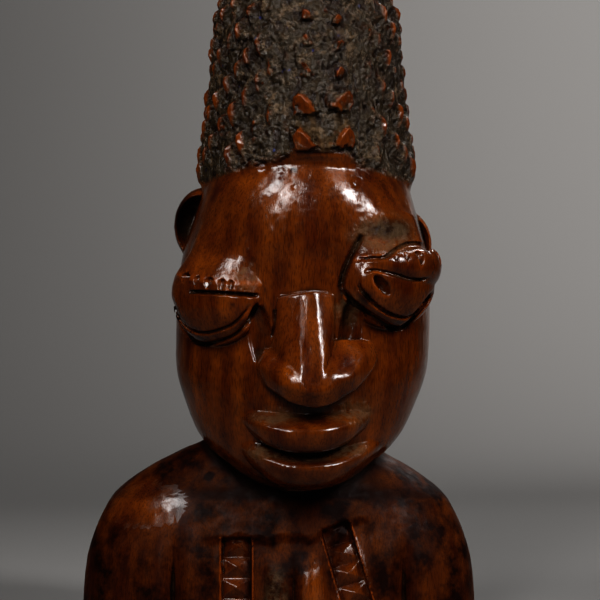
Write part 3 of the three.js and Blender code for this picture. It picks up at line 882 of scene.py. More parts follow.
def stud_tree():
    """Geometry nodes that stand a stud on every point of a lattice, each a little different."""
    tree = bpy.data.node_groups.new("studs on a coiffure", "GeometryNodeTree")
    face = tree.interface
    for name, kind in (
        ("Geometry", "Geometry"),
        ("Stud", "Object"),
        ("Height", "Float"),
        ("Unevenness", "Float"),
        ("Turn", "Float"),
        ("Seed", "Int"),
        ("Finish", "Material"),
    ):
        face.new_socket(name, in_out="INPUT", socket_type="NodeSocket" + kind)
    face.new_socket("Geometry", in_out="OUTPUT", socket_type="NodeSocketGeometry")
    new = partial(add, tree)
    given = new("NodeGroupInput").outputs
    facing, climb, size, rise, side = [
        new("GeometryNodeInputNamedAttribute", {"Name": name}, data_type=kind) for name, kind in STUD_VALUES
    ]
    axes = new("FunctionNodeAxesToRotation", {"Primary Axis": facing, "Secondary Axis": climb},
               primary_axis="Z", secondary_axis="Y")
    least = new("ShaderNodeMath", (1.0, given["Unevenness"]), operation="SUBTRACT")
    most = new("ShaderNodeMath", (1.0, given["Unevenness"]), operation="ADD")
    uneven = new("FunctionNodeRandomValue", {2: least, 3: most, "Seed": given["Seed"]}, data_type="FLOAT")
    wide = new("ShaderNodeMath", (size, side), operation="MULTIPLY")
    tall = new("ShaderNodeMath", (given["Height"], uneven), operation="MULTIPLY")
    taller = new("ShaderNodeMath", (tall, rise), operation="MULTIPLY")
    scale = new("ShaderNodeCombineXYZ", (wide, size, taller))
    placed = new("GeometryNodeInstanceOnPoints", {
        "Points": given["Geometry"],
        "Instance": new("GeometryNodeObjectInfo", {"Object": given["Stud"]}).outputs["Geometry"],
        "Rotation": axes,
        "Scale": scale,
    })
    less = new("ShaderNodeMath", (given["Turn"], -1.0), operation="MULTIPLY")
    limits = {2: less, 3: given["Turn"], "Seed": given["Seed"]}
    about = new("ShaderNodeCombineXYZ", {"Z": new("FunctionNodeRandomValue", limits, data_type="FLOAT")})
    twisted = new("GeometryNodeRotateInstances", {"Instances": placed, "Rotation": about})
    real = new("GeometryNodeRealizeInstances", {"Geometry": twisted})
    done = new("GeometryNodeSetMaterial", {"Geometry": real, "Material": given["Finish"]})
    new("NodeGroupOutput", {"Geometry": done})
    return tree


def repeated(rows, one, sizes, finish):
    """One stud or knob stood on every place as one plain mesh, in millimetres."""
    data = bpy.data.meshes.new("stud places")
    data.from_pydata([row[0] for row in rows], [], [])
    for column, (name, _) in enumerate(STUD_VALUES, 1):
        kept(data, name, np.array([row[column] for row in rows]))
    places = shown("stud places", data)
    stud = bpy.data.objects.new("stud", one)
    tree = stud_tree()
    modifier = places.modifiers.new("studs", "NODES")
    modifier.node_group = tree
    wanted = {
        "Stud": stud,
        "Height": sizes.stud_depth,
        "Unevenness": sizes.stud_unevenness,
        "Turn": sizes.stud_turn,
        "Seed": sizes.seed,
        "Finish": finish,
    }
    for item in tree.interface.items_tree:
        if item.in_out == "INPUT" and item.name in wanted:
            modifier[item.identifier] = wanted[item.name]
    plain = made_plain(places)
    bpy.data.objects.remove(stud)
    return plain


def between(cell, part, value_at):
    """Values between the eight corners of each point's cell, by how far into the cell the point lies."""
    total = 0
    for corner in range(8):
        step = np.array([corner & 1, corner >> 1 & 1, corner >> 2 & 1])
        weight = np.prod(np.where(step, part, 1 - part), axis=1)
        total = total + weight * value_at(*(cell + step).T)
    return total


def distances_to(meshes, voxel, reach=12):
    """A function that gives the distance from closed meshes at any points within a reach, in voxels."""
    points = np.empty((0, 3), np.float32)
    corners = np.empty((0, 3), np.int32)
    for mesh in meshes:
        mesh.calc_loop_triangles()
        sides = values_of(mesh.loop_triangles, "vertices", 3, np.int32)
        corners = np.concatenate([corners, sides + len(points)])
        points = np.concatenate([points, values_of(mesh.vertices, "co", 3, np.float32)])
    grid = openvdb.FloatGrid.createLevelSetFromPolygons(
        points,
        triangles=corners.astype(np.uint32),
        transform=openvdb.createLinearTransform(voxelSize=voxel),
        halfWidth=float(reach),
    )
    low = np.floor(points.min(axis=0) / voxel).astype(int) - reach - 1
    high = np.ceil(points.max(axis=0) / voxel).astype(int) + reach + 2
    values = np.zeros(high - low, np.float32)
    grid.copyToArray(values, ijk=tuple(int(v) for v in low))
    top = np.array(values.shape) - 2

    def distance(at):
        place = np.clip(at / voxel - low, 0, top + 0.999)
        cell = np.minimum(place.astype(int), top)
        return between(cell, place - cell, lambda i, j, k: values[i, j, k])

    return distance


def noise(points, size, seed=0):
    """Smooth random values from -1 to 1, with bumps of a size."""
    place = points / size
    cell = np.floor(place).astype(np.int64)
    part = place - cell

    def chance(i, j, k):
        mixed = (i * 73856093) ^ (j * 19349663) ^ (k * 83492791) ^ (seed * 2654435761)
        mixed = (mixed ^ (mixed >> 13)) * 1274126177
        return ((mixed ^ (mixed >> 16)) & 65535) / 32767.5 - 1

    return between(cell, part * part * (3 - 2 * part), chance)


def near_skin(cells, size, low, voxel, field):
    """Which cubes of voxels the skin may pass through, and the field in the middle of each."""
    middle = field(low + (cells + size / 2) * voxel)
    return np.abs(middle) < size * voxel * 0.87 + (1.9 if size > 2 else 0.6), middle


def steps_in(counts):
    """Every place in a block of cells, one row each."""
    return np.indices(counts).reshape(3, -1).T


def skin_mesh(field, low, high, voxel):
    """Points and quads of the skin of a field, sought only near it. Away from it the field's values are
    cut off at three voxels."""
    most = 3 * voxel
    size = 8
    blocks = np.ceil((high - low) / (voxel * size)).astype(int)
    cells = steps_in(blocks) * size
    keep, middle = near_skin(cells, size, low, voxel, field)
    signs = np.sign(middle).reshape(blocks).astype(np.float32) * 3 * voxel
    values = signs.repeat(size, 0).repeat(size, 1).repeat(size, 2)
    cells = cells[keep]
    for smaller in (2, 1):
        steps = steps_in((size // smaller,) * 3) * smaller
        cells = (cells[:, None, :] + steps[None]).reshape(-1, 3)
        if smaller == 1:
            i, j, k = cells.T
            values[i, j, k] = np.clip(field(low + cells * voxel), -most, most)
            break
        keep, middle = near_skin(cells, smaller, low, voxel, field)
        far = cells[~keep]
        for step in steps_in((smaller,) * 3):
            i, j, k = (far + step).T
            values[i, j, k] = np.sign(middle[~keep]) * most
        cells = cells[keep]
        size = smaller
    grid = openvdb.FloatGrid(most)
    grid.copyFromArray(values)
    points, quads = grid.convertToQuads(isovalue=0)
    return low + points * voxel, largest_shell(points, quads)


def largest_shell(points, quads):
    """The quads of the shell with the most points, without any crumbs beside it."""
    labels = np.arange(len(points))
    edges = np.concatenate([quads[:, [0, 1]], quads[:, [1, 2]], quads[:, [2, 3]]]).astype(np.int64)
    while True:
        least = np.minimum(labels[edges[:, 0]], labels[edges[:, 1]])
        before = labels.copy()
        np.minimum.at(labels, edges[:, 0], least)
        np.minimum.at(labels, edges[:, 1], least)
        labels = labels[labels]
        if np.array_equal(labels, before):
            break
    main = np.bincount(labels).argmax()
    return quads[labels[quads[:, 0]] == main]


def plain_mesh(name, points, faces):
    data = bpy.data.meshes.new(name)
    data.vertices.add(len(points))
    data.vertices.foreach_set("co", points.astype(np.float32).ravel())
    data.loops.add(faces.size)
    data.loops.foreach_set("vertex_index", faces.astype(np.int32).ravel())
    data.polygons.add(len(faces))
    data.polygons.foreach_set("loop_start", np.arange(0, faces.size, faces.shape[1], dtype=np.int32))
    data.update(calc_edges=True)
    data.validate()
    return data


CORNERS = np.array([(1, -1, -1), (-1, -1, 1), (-1, 1, -1), (1, 1, 1)])
# How far past the CAD's box the skin is sought, in millimetres, and how many points are worked out at once.
BOX_MARGIN = 3.0
POINTS_AT_ONCE = 200000
# How the mesh is drawn on to the field, in millimetres: how far round each point the field is asked in
# each round and for the normals, and the most that a point moves in a round.
DRAWING_REACHES = (0.15, 0.1, 0.1)
NORMAL_REACH = 0.15
MOST_STEP = 0.3
# How far outside the skin the field is asked to tell hollows, and how far inside to tell edges.
NEAR_PROBE = 0.8
WIDE_PROBE = 3.0
EDGE_PROBE = 1.2
# How rough bare wood is, as a share of the crust's roughness.
BARE_ROUGHNESS = 0.1


def value_and_slope(points, field, reach):
    """A field and the way that it grows, from four places round each point."""
    value = 0
    slope = 0
    for corner in CORNERS:
        there = field(points + corner * reach)
        value = value + there / 4
        slope = slope + there[:, None] * corner / (4 * reach)
    return value, slope


def unit(vectors):
    return vectors / np.maximum(np.linalg.norm(vectors, axis=1), 1e-9)[:, None]


def figure_mesh(sizes, studs):
    """The figure's skin, under the limit of faces, drawn on to its field, in millimetres."""

    def plain(points):
        batches = np.array_split(points, len(points) // POINTS_AT_ONCE + 1)
        return np.concatenate([carve(batch, studs) for batch in batches])

    def worked(points):
        return plain(points) + relief(points, sizes)

    low = np.array(CAD_BOX[0]) / MM - BOX_MARGIN
    high = np.array(CAD_BOX[1]) / MM + BOX_MARGIN
    points, quads = skin_mesh(plain, low, high, sizes.fineness * (1))
    rough = shown("rough", plain_mesh("rough", points, quads))
    fewer = rough.modifiers.new("fewer", "DECIMATE")
    fewer.ratio = min(1, sizes.faces / (2 * len(quads)))
    fewer.use_collapse_triangulate = True
    data = made_plain(rough)
    points = values_of(data.vertices, "co", 3, np.float32).astype(np.float64)
    for reach in DRAWING_REACHES:
        value, slope = value_and_slope(points, worked, reach)
        step = value / np.maximum((slope**2).sum(axis=1), 0.25)
        points -= slope * np.clip(step, -MOST_STEP, MOST_STEP)[:, None]
    _, slope = value_and_slope(points, worked, NORMAL_REACH)
    normals = unit(slope)
    data.vertices.foreach_set("co", points.astype(np.float32).ravel())
    return data, points, normals, plain


def relief(points, sizes):
    """Soft knife marks all over, and a rough crust on the coiffure."""
    x, y, z = points.T
    marks = 0.9 * noise(points, np.array([4.5, 4.5, 8.0]), 1) + 0.1 * noise(points, 1.6, 2)
    rough = np.full(len(points), BARE_ROUGHNESS)
    high = z > HAIRLINE - HAIRLINE_DROP - 3
    start = crust_start(x[high] - HEAD_SHIFT, y[high])
    upper = smooth(z[high], start - 0.5, start + 1.5)
    lift = skin_of_hair(x[high] - HEAD_SHIFT, y[high], z[high]) / sizes.stud_depth
    rough[high] = mix(BARE_ROUGHNESS, mix(1, BARE_ROUGHNESS, smooth(lift, 0.3, 0.7)), upper)
    crust = 0.35 * noise(points, 2.1, 5) + 0.4 * noise(points, 1.1, 3) + 0.25 * noise(points, 0.6, 4)
    change = sizes.mark_depth * marks + sizes.crust_depth * crust * rough
    front = (y < -5) & (z > HAIRLINE) & (z < HAIRLINE + 18)
    for path in CRUST_BANDS:
        away, _ = off_path(x[front] - HEAD_SHIFT, z[front], path)
        change[front] -= 0.2 * np.maximum(1 - away / 1.0, 0)
    return change


# Places where dust lies thick; places darkened almost fully, some for stains of old oil and knots in the
# wood, and some as painted shade in hollows and under the hairline's knobs; and places where hands have
# polished the chest: middle and radii in millimetres from the head's axis.
DUSTY = [
    ((10.5, -28, 81), (4.5, 8, 5)),
    ((19, -27, 98.5), (10, 14, 5.5)),
    ((-13, -31, 88.5), (3, 7, 4)),
    ((12, -29, 57), (7, 8, 3.5)),
    ((-6, -32, 56), (7, 8, 2)),
    ((11, -28, 48.5), (5, 8, 2.2)),
    ((-9, -29, 47.5), (5, 8, 2)),
    ((30, -3, 99), (4, 8, 6)),
    ((-6.5, -22, 12), (3.2, 8, 9)),
]
STAINED_AND_SHADED = [
    # Painted shade inside the left ear's hollow and on the head beside it.
    ((-27.5, 2, 101), (6, 9, 9)),
    ((27.5, -7, 99), (4, 7, 6)),
    ((-16.4, -26, 82), (0.8, 12, 0.8)),
    ((-2.2, -26, 113.3), (1.5, 12, 1.0)),
    ((-22.3, -10, 40.2), (1.5, 20, 1.3)),
    # Painted shade in the mouth's slot between the lips.
    ((2, -38, 46.6), (10, 14, 2.4)),
    # Painted shade in the pit at the right eye's inner corner.
    ((14.5, -30, 84), (2.6, 6, 3)),
    ((20, -26, 99.5), (9, 10, 3.2)),
    # Painted shadow along the hairline, under the knobs.
    ((4.2, -26, 117.6), (8, 12, 0.9)),
]
POLISHED = [
    ((-38, -12, 33.5), (15, 14, 7)),
    ((2.5, -22, 10), (3.5, 8, 14)),
    ((-16.2, -20, 13), (4.2, 8, 16)),
    ((11.6, -20, 14), (5.0, 8, 16)),
]
# Places on the face that shine less than the rest.
DULLED = [
    ((-0.8, -36, 76.5), (2.2, 10, 12)),
    ((-4.5, -36, 66.5), (3.5, 8, 3.5)),
]
# Bands of paler crust run down from both columns of knobs and meet on the front line.
CRUST_BANDS = [
    [(0.0, 129.2), (2.2, 124.5), (4.8, 118.6)],
    [(10.1, 129.9), (7.6, 124.5), (4.8, 118.6)],
    [(-1.5, 123.6), (2.0, 121.6), (4.8, 118.0), (7.6, 121.6), (10.6, 125)],
]


def within(points, places):
    """How far each point lies inside the nearest of several ellipsoids, from 0 to 1."""
    share = np.zeros(len(points))
    for middle, radii in places:
        away = np.sqrt((((points - np.array([HEAD_SHIFT, 0, 0]) - middle) / radii) ** 2).sum(axis=1))
        share = np.maximum(share, 1 - smooth(away, 0.4, 1.15))
    return share


def describe_skin(sizes, data, points, normals, field):
    """Keeps what the finish needs: where the hair is, how sunken, sharp and dusty each point lies. Gives
    back how dull each point is."""
    x, y, z = points.T
    near = 1 - field(points + normals * NEAR_PROBE) / NEAR_PROBE
    wide = 1 - field(points + normals * WIDE_PROBE) / WIDE_PROBE
    sharp = 1 + field(points - normals * EDGE_PROBE) / EDGE_PROBE
    on_head = x - HEAD_SHIFT
    angle = np.arctan2(on_head, -y)
    start = crust_start(on_head, y)
    kept(data, "hair", smooth(z, start - 0.4, start + 1.2))
    # How closed in each point is by wood nearby: it sets the painted shade in the hollows, and where dust
    # gathers.
    kept(data, "recess", np.clip(0.5 * near + 0.7 * wide, 0, 1))
    kept(data, "edge", np.clip(sharp, 0, 1))
    lift = skin_of_hair(on_head, y, z) / sizes.stud_depth
    side = np.where(angle > FRONT_TURN, 1, -1)
    outwards = side * (normals[:, 0] * np.cos(angle) + normals[:, 1] * np.sin(angle))
    flank = smooth(outwards, 0.2, 0.55) * smooth(lift, 0.05, 0.25)
    kept(data, "crest", np.clip(lift + 0.4 * flank, 0, 1))
    chest = np.zeros(len(points))
    low = z < TORSO_TOP
    chest[low] = 1 - smooth(skin_of_torso(x[low], y[low], z[low]), 0.3, 1.6)
    chest *= 1 - within(points, POLISHED)
    kept(data, "chest", chest)
    # Places darkened almost fully: stains of old oil, and painted shade in the ears, the mouth, the right
    # eye's pit and under the hairline's knobs.
    kept(data, "stain_and_shade", within(points, STAINED_AND_SHADED) * (y < 6))
    dust = within(points, DUSTY)
    front = (y < -5) & (z > HAIRLINE)
    for path in CRUST_BANDS:
        away, _ = off_path(on_head[front], z[front], path)
        pale = (1 - smooth(away, 0.2, 0.9)) * (1 - smooth(lift[front], 0.3, 0.5))
        dust[front] = np.maximum(dust[front], 0.9 * pale)
    kept(data, "dust", dust)
    dull = np.maximum(np.maximum(chest, dust), within(points, DULLED))
    # Its edge is ragged, and on the torso single grains shine.
    ragged = 0.4 * noise(points, 0.7, 10) * (dull < 0.98) * low
    return dull + 0.15 * noise(points, 1.5, 9) + ragged


def wood_finish(colours, name, gloss):
    """Hardwood, treated with oil and rubbed by hands until it shines, dark in its grain, with crust in the
    coiffure, dust in the hollows and painted shade in the hollows and shaded places. Where grime dulls it, on
    the chest and under dust, it reflects less."""
    wood = bpy.data.materials.new(name)
    wood.use_nodes = True
    tree = wood.node_tree
    tree.nodes.clear()
    new = partial(add, tree)
    place = new("ShaderNodeTexCoord").outputs["Object"]
    hair, recess, edge, dust, crest, chest, stain_and_shade = [
        new("ShaderNodeAttribute", attribute_name=name).outputs["Fac"]
        for name in ("hair", "recess", "edge", "dust", "crest", "chest", "stain_and_shade")
    ]

    # Pores are dark dashes 0.3 mm wide and 2 mm long, up the figure as the grain runs.
    long = new("ShaderNodeMapping", {"Vector": place, "Scale": (3300, 3300, 520)})
    pores = new("ShaderNodeTexNoise", {"Vector": long, "Scale": 1.0, "Detail": 2.0, "Distortion": 0.4})
    dashes = new("ShaderNodeMapRange", (pores, 0.48, 0.64))
    # Growth rings show as streaks 4 mm wide.
    wide = new("ShaderNodeMapping", {"Vector": place, "Scale": (240, 240, 30)})
    streaks = new("ShaderNodeTexNoise", {"Vector": wide, "Scale": 1.0, "Detail": 5.0})
    streak = new("ShaderNodeMapRange", (streaks, 0.25, 0.75))
    # Old oil lies in darker clouds 7 mm wide, and crust and dust break up in grains of 0.7 mm and in lumps
    # of 3 mm.
    clouds, grain, lump = [
        new("ShaderNodeTexNoise", {"Vector": place, "Scale": scale, "Detail": detail, "Roughness": rough})
        for scale, detail, rough in ((150.0, 7.0, 0.66), (1400.0, 4.0, 0.7), (330.0, 4.0, 0.65))
    ]
    # The crust has cracked into flakes 1.3 mm across.
    flake = new("ShaderNodeTexVoronoi", {"Vector": place, "Scale": 760.0})

    def colour(name):
        return (*getattr(colours, name), 1)

    # Painted shade darkens the hollows. Clouds of old oil and the stained and shaded places darken the wood
    # as well, and most of the chest is made darker.
    cloud = new("ShaderNodeMapRange", (clouds, 0.42, 0.68))
    strong = new("ShaderNodeMapRange", (chest, 0.0, 1.0, 0.45, 0.7))
    oil_and_shade_share = new("ShaderNodeMath", (cloud, strong), operation="MULTIPLY")
    # Painted shade: the more closed in a point is, the more its wood is darkened towards the dark oil colour.
    sunk = new("ShaderNodeMapRange", (recess, 0.15, 0.7, 0.0, 0.75))
    # The stains and the painted shade of those places darken the wood as well.
    for darker in (sunk, stain_and_shade):
        oil_and_shade_share = new("ShaderNodeMath", (oil_and_shade_share, darker), operation="MAXIMUM")
    oil_and_shade_share = new("ShaderNodeMath", (chest, 0.5, oil_and_shade_share), operation="MULTIPLY_ADD", use_clamp=True)
    # The coiffure is rubbed lighter than the rest, and oil fills the pores.
    lighter = new("ShaderNodeMath", (hair, 0.2), operation="MULTIPLY")
    thin = new("ShaderNodeMath", (dashes, 0.45), operation="MULTIPLY")
    bare = colour("deep")
    for share, layer in ((streak, "lit"), (oil_and_shade_share, "oil"), (lighter, "worn"), (thin, "oil")):
        bare = new("ShaderNodeMix", {0: share, 6: bare, 7: colour(layer)}, data_type="RGBA")

    # Crust fills the coiffure up to the studs' rubbed crests, dark brown with tan dust on it, painted shade
    # in its hollows and a few specks of laundry blue.
    ragged = new("ShaderNodeMath", (grain, 1.0, -0.5), operation="MULTIPLY_ADD")
    patch = new("ShaderNodeMath", (lump, 2.0, -1.15), operation="MULTIPLY_ADD")
    buried = new("ShaderNodeMapRange", (crest, 0.66, 0.33, 0.0, 1.4))
    broken = new("ShaderNodeMath", (buried, patch), operation="ADD")
    broken = new("ShaderNodeMath", (broken, ragged), operation="ADD", use_clamp=True)
    crust = new("ShaderNodeMath", (broken, hair), operation="MULTIPLY")
    tan = new("ShaderNodeMath", (grain, 0.5, lump), operation="MULTIPLY_ADD")
    tan = new("ShaderNodeMapRange", (tan, 0.79, 0.93, 0.0, 0.9))
    # Painted shade: the crust's hollows are darkened towards the dark oil colour.
    deep = new("ShaderNodeMapRange", (recess, 0.15, 0.6, 0.0, 0.8))
    specks = new("ShaderNodeTexNoise", {"Vector": place, "Scale": 420.0, "Detail": 1.0})
    speck = new("ShaderNodeMapRange", (specks, 0.75, 0.79, 0.0, 0.7))
    crumb = colour("crust")
    for share, layer in ((tan, "dust"), (deep, "oil"), (speck, "blue")):
        crumb = new("ShaderNodeMix", {0: share, 6: crumb, 7: colour(layer)}, data_type="RGBA")

    # Dust lies in patches, and the wood's clean edges are rubbed bare, less so in the coiffure.
    hollow = new("ShaderNodeMapRange", (recess, 0.5, 0.9, 0.0, 0.15))
    powder = new("ShaderNodeMath", (dust, 0.45, hollow), operation="MULTIPLY_ADD")
    patchy = new("ShaderNodeMapRange", (lump, 0.38, 0.56, 0.15, 1.1))
    powder = new("ShaderNodeMath", (powder, patchy), operation="MULTIPLY", use_clamp=True)
    rubbed = new("ShaderNodeMapRange", (edge, 0.35, 0.9, 0.0, 0.6))
    clean = new("ShaderNodeMath", (1.0, stain_and_shade), operation="SUBTRACT")
    bared = new("ShaderNodeMapRange", (hair, 0.0, 1.0, 1.0, 0.35))
    for share in (clean, bared):
        rubbed = new("ShaderNodeMath", (rubbed, share), operation="MULTIPLY")
    skin = bare
    for share, layer in ((crust, crumb), (powder, colour("dust")), (rubbed, colour("worn"))):
        skin = new("ShaderNodeMix", {0: share, 6: skin, 7: layer}, data_type="RGBA")

    # Oiled crust still shines where no dust lies on it, and the chest shines less evenly than the face.
    loose = new("ShaderNodeMath", (crust, tan), operation="MULTIPLY")
    loose = new("ShaderNodeMath", (loose, 0.6), operation="MULTIPLY")
    dull = new("ShaderNodeMath", (loose, powder), operation="ADD", use_clamp=True)
    grimy = new("ShaderNodeMapRange", (lump, 0.35, 0.6, 0.45, 0.85))
    grimy = new("ShaderNodeMath", (chest, grimy), operation="MULTIPLY")
    dull = new("ShaderNodeMath", (grimy, dull), operation="MAXIMUM")
    matt = new("ShaderNodeMapRange", (dull, 0.0, 1.0, 0.11, 0.58))
    rough = new("ShaderNodeMath", (grain, 0.14, matt), operation="MULTIPLY_ADD", use_clamp=True)

    # Streaks and pores stand out a little, and the grit of crust and dust far more.
    height = new("ShaderNodeMath", (streaks, 0.4), operation="MULTIPLY")
    height = new("ShaderNodeMath", (pores, 0.22, height), operation="MULTIPLY_ADD")
    gritty = new("ShaderNodeMath", (flake, -1.1, grain), operation="MULTIPLY_ADD")
    coated = new("ShaderNodeMath", (crust, powder), operation="MAXIMUM")
    gritty = new("ShaderNodeMath", (gritty, coated), operation="MULTIPLY")
    height = new("ShaderNodeMath", (gritty, 7.0, height), operation="MULTIPLY_ADD")
    bump = new("ShaderNodeBump", {"Strength": 0.6, "Distance": 0.00018, "Height": height})
    surface = new("ShaderNodeBsdfPrincipled", {
        "Base Color": skin,
        "Roughness": rough,
        "Normal": bump,
        "IOR": 1.45,
        "Specular IOR Level": gloss,
    })
    new("ShaderNodeOutputMaterial", {"Surface": surface})
    return wood


def stage_finish():
    """Matt grey card, which takes the light evenly."""
    card = bpy.data.materials.new("grey_card")
    card.use_nodes = True
    tree = card.node_tree
    tree.nodes.clear()
    surface = add(tree, "ShaderNodeBsdfPrincipled", {"Base Color": (*linear("6a6866"), 1), "Roughness": 0.9})
    add(tree, "ShaderNodeOutputMaterial", {"Surface": surface})
    return card


def sweep_mesh(half, front, back, bend):
    """A floor that bends up into a backdrop, low enough for a camera behind it to look over. The bend
    ends at 67.5 degrees, after 12 steps."""
    side = [(front, 0.0), (back - bend, 0.0)]
    for k in range(1, 13):
        angle = k * math.pi / 32
        side.append((back - bend + bend * math.sin(angle), bend - bend * math.cos(angle)))
    points = [(x, y, z) for y, z in side for x in (-half, half)]
    faces = [(2 * k, 2 * k + 1, 2 * k + 3, 2 * k + 2) for k in range(len(side) - 1)]
    data = bpy.data.meshes.new("floor")
    data.from_pydata(points, [], faces)
    data.shade_smooth()
    return data


def aimed(data, name, place, at):
    """A light or camera that looks from a place at another."""
    item = shown(name, data)
    item.location = place
    item.rotation_euler = (Vector(at) - Vector(place)).to_track_quat("-Z", "Y").to_euler()
    return item


def around(at, azimuth, elevation, distance):
    """A place round the figure: azimuth from its front to the right of the picture."""
    a, e = math.radians(azimuth), math.radians(elevation)
    towards = Vector((math.sin(a) * math.cos(e), -math.cos(a) * math.cos(e), math.sin(e)))
    return Vector(at) + distance * towards


class IbejiSizes(bpy.types.PropertyGroup):
    stud_depth: FloatProperty(
        name="Stud Depth", description="How far the coiffure's studs stand out, in millimetres", default=2.5
    )
    stud_unevenness: FloatProperty(
        name="Stud Unevenness", description="Share by which the studs differ in height", default=0.2,
        subtype="FACTOR", min=0, max=1,
    )
    stud_turn: FloatProperty(
        name="Stud Turn", description="Most that a stud is turned from its row", default=math.radians(9),
        subtype="ANGLE",
    )
    seed: IntProperty(name="Seed", description="Seed of the studs' unevenness", default=7)
    fineness: FloatProperty(
        name="Fineness", description="Spacing of the carving's grid, in millimetres", default=0.42
    )
    faces: IntProperty(name="Faces", description="Most triangles of the figure", default=194000)
    mark_depth: FloatProperty(
        name="Knife Marks", description="Depth of the knife's soft marks, in millimetres", default=0.055
    )
    crust_depth: FloatProperty(
        name="Crust", description="Roughness of the coiffure's crust, in millimetres", default=0.9
    )


class IbejiColours(bpy.types.PropertyGroup):
    lit: FloatVectorProperty(
        name="Lit Wood", description="The lighter streaks", default=linear("763d0b"), subtype="COLOR"
    )
    deep: FloatVectorProperty(
        name="Deep Wood", description="The darker streaks", default=linear("3a1304"), subtype="COLOR"
    )
    # The dark oil colour, which also paints the shade in hollows and in the shaded places.
    oil: FloatVectorProperty(
        name="Old Oil", description="Dark oil in pores and clouds", default=linear("180602"), subtype="COLOR"
    )
    blue: FloatVectorProperty(
        name="Blue Specks", description="Rests of laundry blue", default=linear("1c2a6b"), subtype="COLOR"
    )
    crust: FloatVectorProperty(
        name="Crust", description="The crust between the studs", default=linear("352a1c"), subtype="COLOR"
    )
    dust: FloatVectorProperty(
        name="Dust", description="Dust in hollows", default=linear("66523c"), subtype="COLOR"
    )
    worn: FloatVectorProperty(
        name="Worn Edges", description="Edges that are rubbed bare", default=linear("86420f"), subtype="COLOR"
    )


class IbejiStage(bpy.types.PropertyGroup):
    distance: FloatProperty(
        name="Camera Distance", description="From the camera to the figure", default=0.9,
        subtype="DISTANCE", unit="LENGTH",
    )
    view_width: FloatProperty(
        name="View Width", description="Width of the view at the figure", default=0.144,
        subtype="DISTANCE", unit="LENGTH",
    )
    elevation: FloatProperty(
        name="Camera Elevation", description="How far the camera looks down", default=math.radians(3),
        subtype="ANGLE",
    )
    light: FloatProperty(name="Light", description="Power of each main light", default=0.6, unit="POWER")
    backdrop_light: FloatProperty(
        name="Backdrop Light", description="Power of the light on the backdrop", default=2.7, unit="POWER"
    )


class IBEJI_OT_figure(bpy.types.Operator):
    """Carve the figure with its studs and finish its wood"""

    bl_idname = "ibeji.figure"
    bl_label = "Carve Figure"

    def execute(self, context):
        sizes = context.scene.ibeji_sizes
        colours = context.scene.ibeji_colours
        finish = wood_finish(colours, "oiled_hardwood", 0.5)
        dull_finish = wood_finish(colours, "grimy_hardwood", 0.08)
        stud = one_of("stud", STUD_BASE, STUD_CREST, STUD_FACES)
        knob = one_of("knob", KNOB_BASE, KNOB_CREST, KNOB_FACES)
        rows = [
            repeated(stud_places(), stud, sizes, finish),
            repeated(knob_places(), knob, sizes, finish),
        ]
        studs = distances_to(rows, STUD_VOXEL)
        data, points, normals, field = figure_mesh(sizes, studs)
        dull = describe_skin(sizes, data, points, normals, field)
        data.transform(Matrix.Scale(MM, 4))
        data.shade_smooth()
        data.normals_split_custom_set_from_vertices(normals.astype(np.float32))
        data.materials.clear()
        for kind in (finish, dull_finish):
            data.materials.append(kind)
        corners = values_of(data.loops, "vertex_index", 1, np.int32)
        worst = dull[corners].reshape(-1, 3).mean(axis=1) > 0.5
        data.polygons.foreach_set("material_index", worst.astype(np.int32))
        data.name = "carved_figure"
        figure = shown("carved_figure", data)
        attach(figure, "root")
        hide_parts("figure")
        return {"FINISHED"}


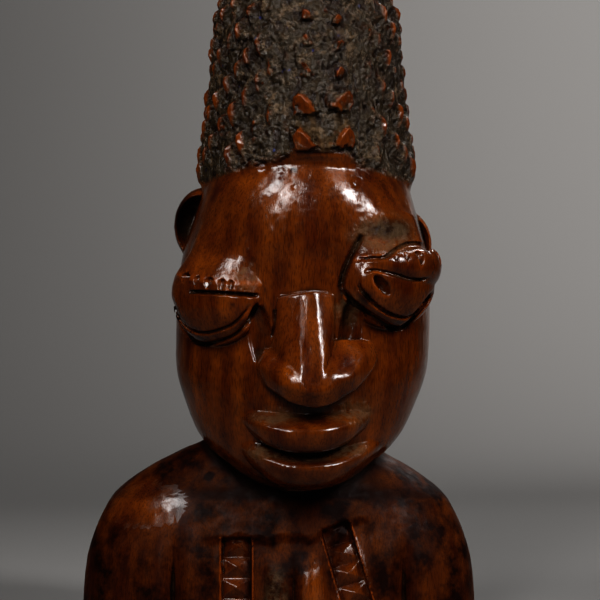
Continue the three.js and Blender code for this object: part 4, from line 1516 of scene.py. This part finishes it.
class IBEJI_OT_stage(bpy.types.Operator):
    """Set the floor, backdrop, lights and camera"""

    bl_idname = "ibeji.stage"
    bl_label = "Set Stage"

    def execute(self, context):
        stage = context.scene.ibeji_stage
        at = (0.00508, 0.0, 0.0816)
        data = sweep_mesh(2.0, -2.0, 0.85, 0.4)
        data.materials.append(stage_finish())
        floor = shown("floor", data)
        backdrop = (0.12, 0.84, 0.28)
        backdrop_foot = (0.22, 0.32, 0.0)
        face = (0.005, -0.02, 0.11)
        for name, place, target, power, size, spread in (
            ("left_box", around(face, -15, 34, 1.1), face, stage.light, (0.14, 0.8), 48),
            ("right_box", around(face, 50, 39, 1.1), face, stage.light * 0.75, (0.24, 0.6), 30),
            ("high_box", around(face, -42, 47, 0.9), face, stage.light * 0.25, (0.25, 0.25), 40),
            ("backdrop_box", (0.27, 0.38, 0.41), backdrop, stage.backdrop_light, (0.15, 0.15), 150),
            ("floor_box", (0.28, 0.22, 0.38), backdrop_foot, stage.backdrop_light * 0.15, (0.1, 0.1), 108),
            ("back_box", around(face, 160, 38, 0.9), face, stage.light * 0.3, (0.3, 0.3), 40),
        ):
            box = bpy.data.lights.new(name, "AREA")
            box.shape = "RECTANGLE"
            box.size, box.size_y = size
            box.spread = math.radians(spread)
            box.energy = power
            aimed(box, name, place, target)
        world = bpy.data.worlds.new("studio")
        world.use_nodes = True
        sky = world.node_tree.nodes["Background"].inputs
        sky["Color"].default_value = (*linear("d8dadc"), 1)
        sky["Strength"].default_value = 0.03
        context.scene.world = world
        context.scene.view_settings.view_transform = "Standard"
        context.scene.view_settings.look = "High Contrast"
        lens = bpy.data.cameras.new("camera")
        lens.sensor_width = 36.0
        lens.lens = lens.sensor_width * stage.distance / stage.view_width
        place = around(at, 0, math.degrees(stage.elevation), stage.distance)
        context.scene.camera = aimed(lens, "camera", place, at)
        return {"FINISHED"}


class IBEJI_PT_panel(bpy.types.Panel):
    bl_label = "Ibeji"
    bl_idname = "IBEJI_PT_panel"
    bl_space_type = "VIEW_3D"
    bl_region_type = "UI"
    bl_category = "Ibeji"

    def draw(self, context):
        scene = context.scene
        for group, button in (
            (scene.ibeji_sizes, IBEJI_OT_figure),
            (scene.ibeji_colours, None),
            (scene.ibeji_stage, IBEJI_OT_stage),
        ):
            for name in group.bl_rna.properties.keys():
                if name not in ("rna_type", "name"):
                    self.layout.prop(group, name)
            if button:
                self.layout.operator(button.bl_idname)


CLASSES = (IbejiSizes, IbejiColours, IbejiStage, IBEJI_OT_figure, IBEJI_OT_stage, IBEJI_PT_panel)


def register():
    for kind in CLASSES:
        bpy.utils.register_class(kind)
    bpy.types.Scene.ibeji_sizes = PointerProperty(type=IbejiSizes)
    bpy.types.Scene.ibeji_colours = PointerProperty(type=IbejiColours)
    bpy.types.Scene.ibeji_stage = PointerProperty(type=IbejiStage)


def unregister():
    del bpy.types.Scene.ibeji_sizes
    del bpy.types.Scene.ibeji_colours
    del bpy.types.Scene.ibeji_stage
    for kind in reversed(CLASSES):
        bpy.utils.unregister_class(kind)


def main():
    register()
    bpy.ops.ibeji.stage()
    bpy.ops.ibeji.figure()
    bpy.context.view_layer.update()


if __name__ == "__main__":
    main()
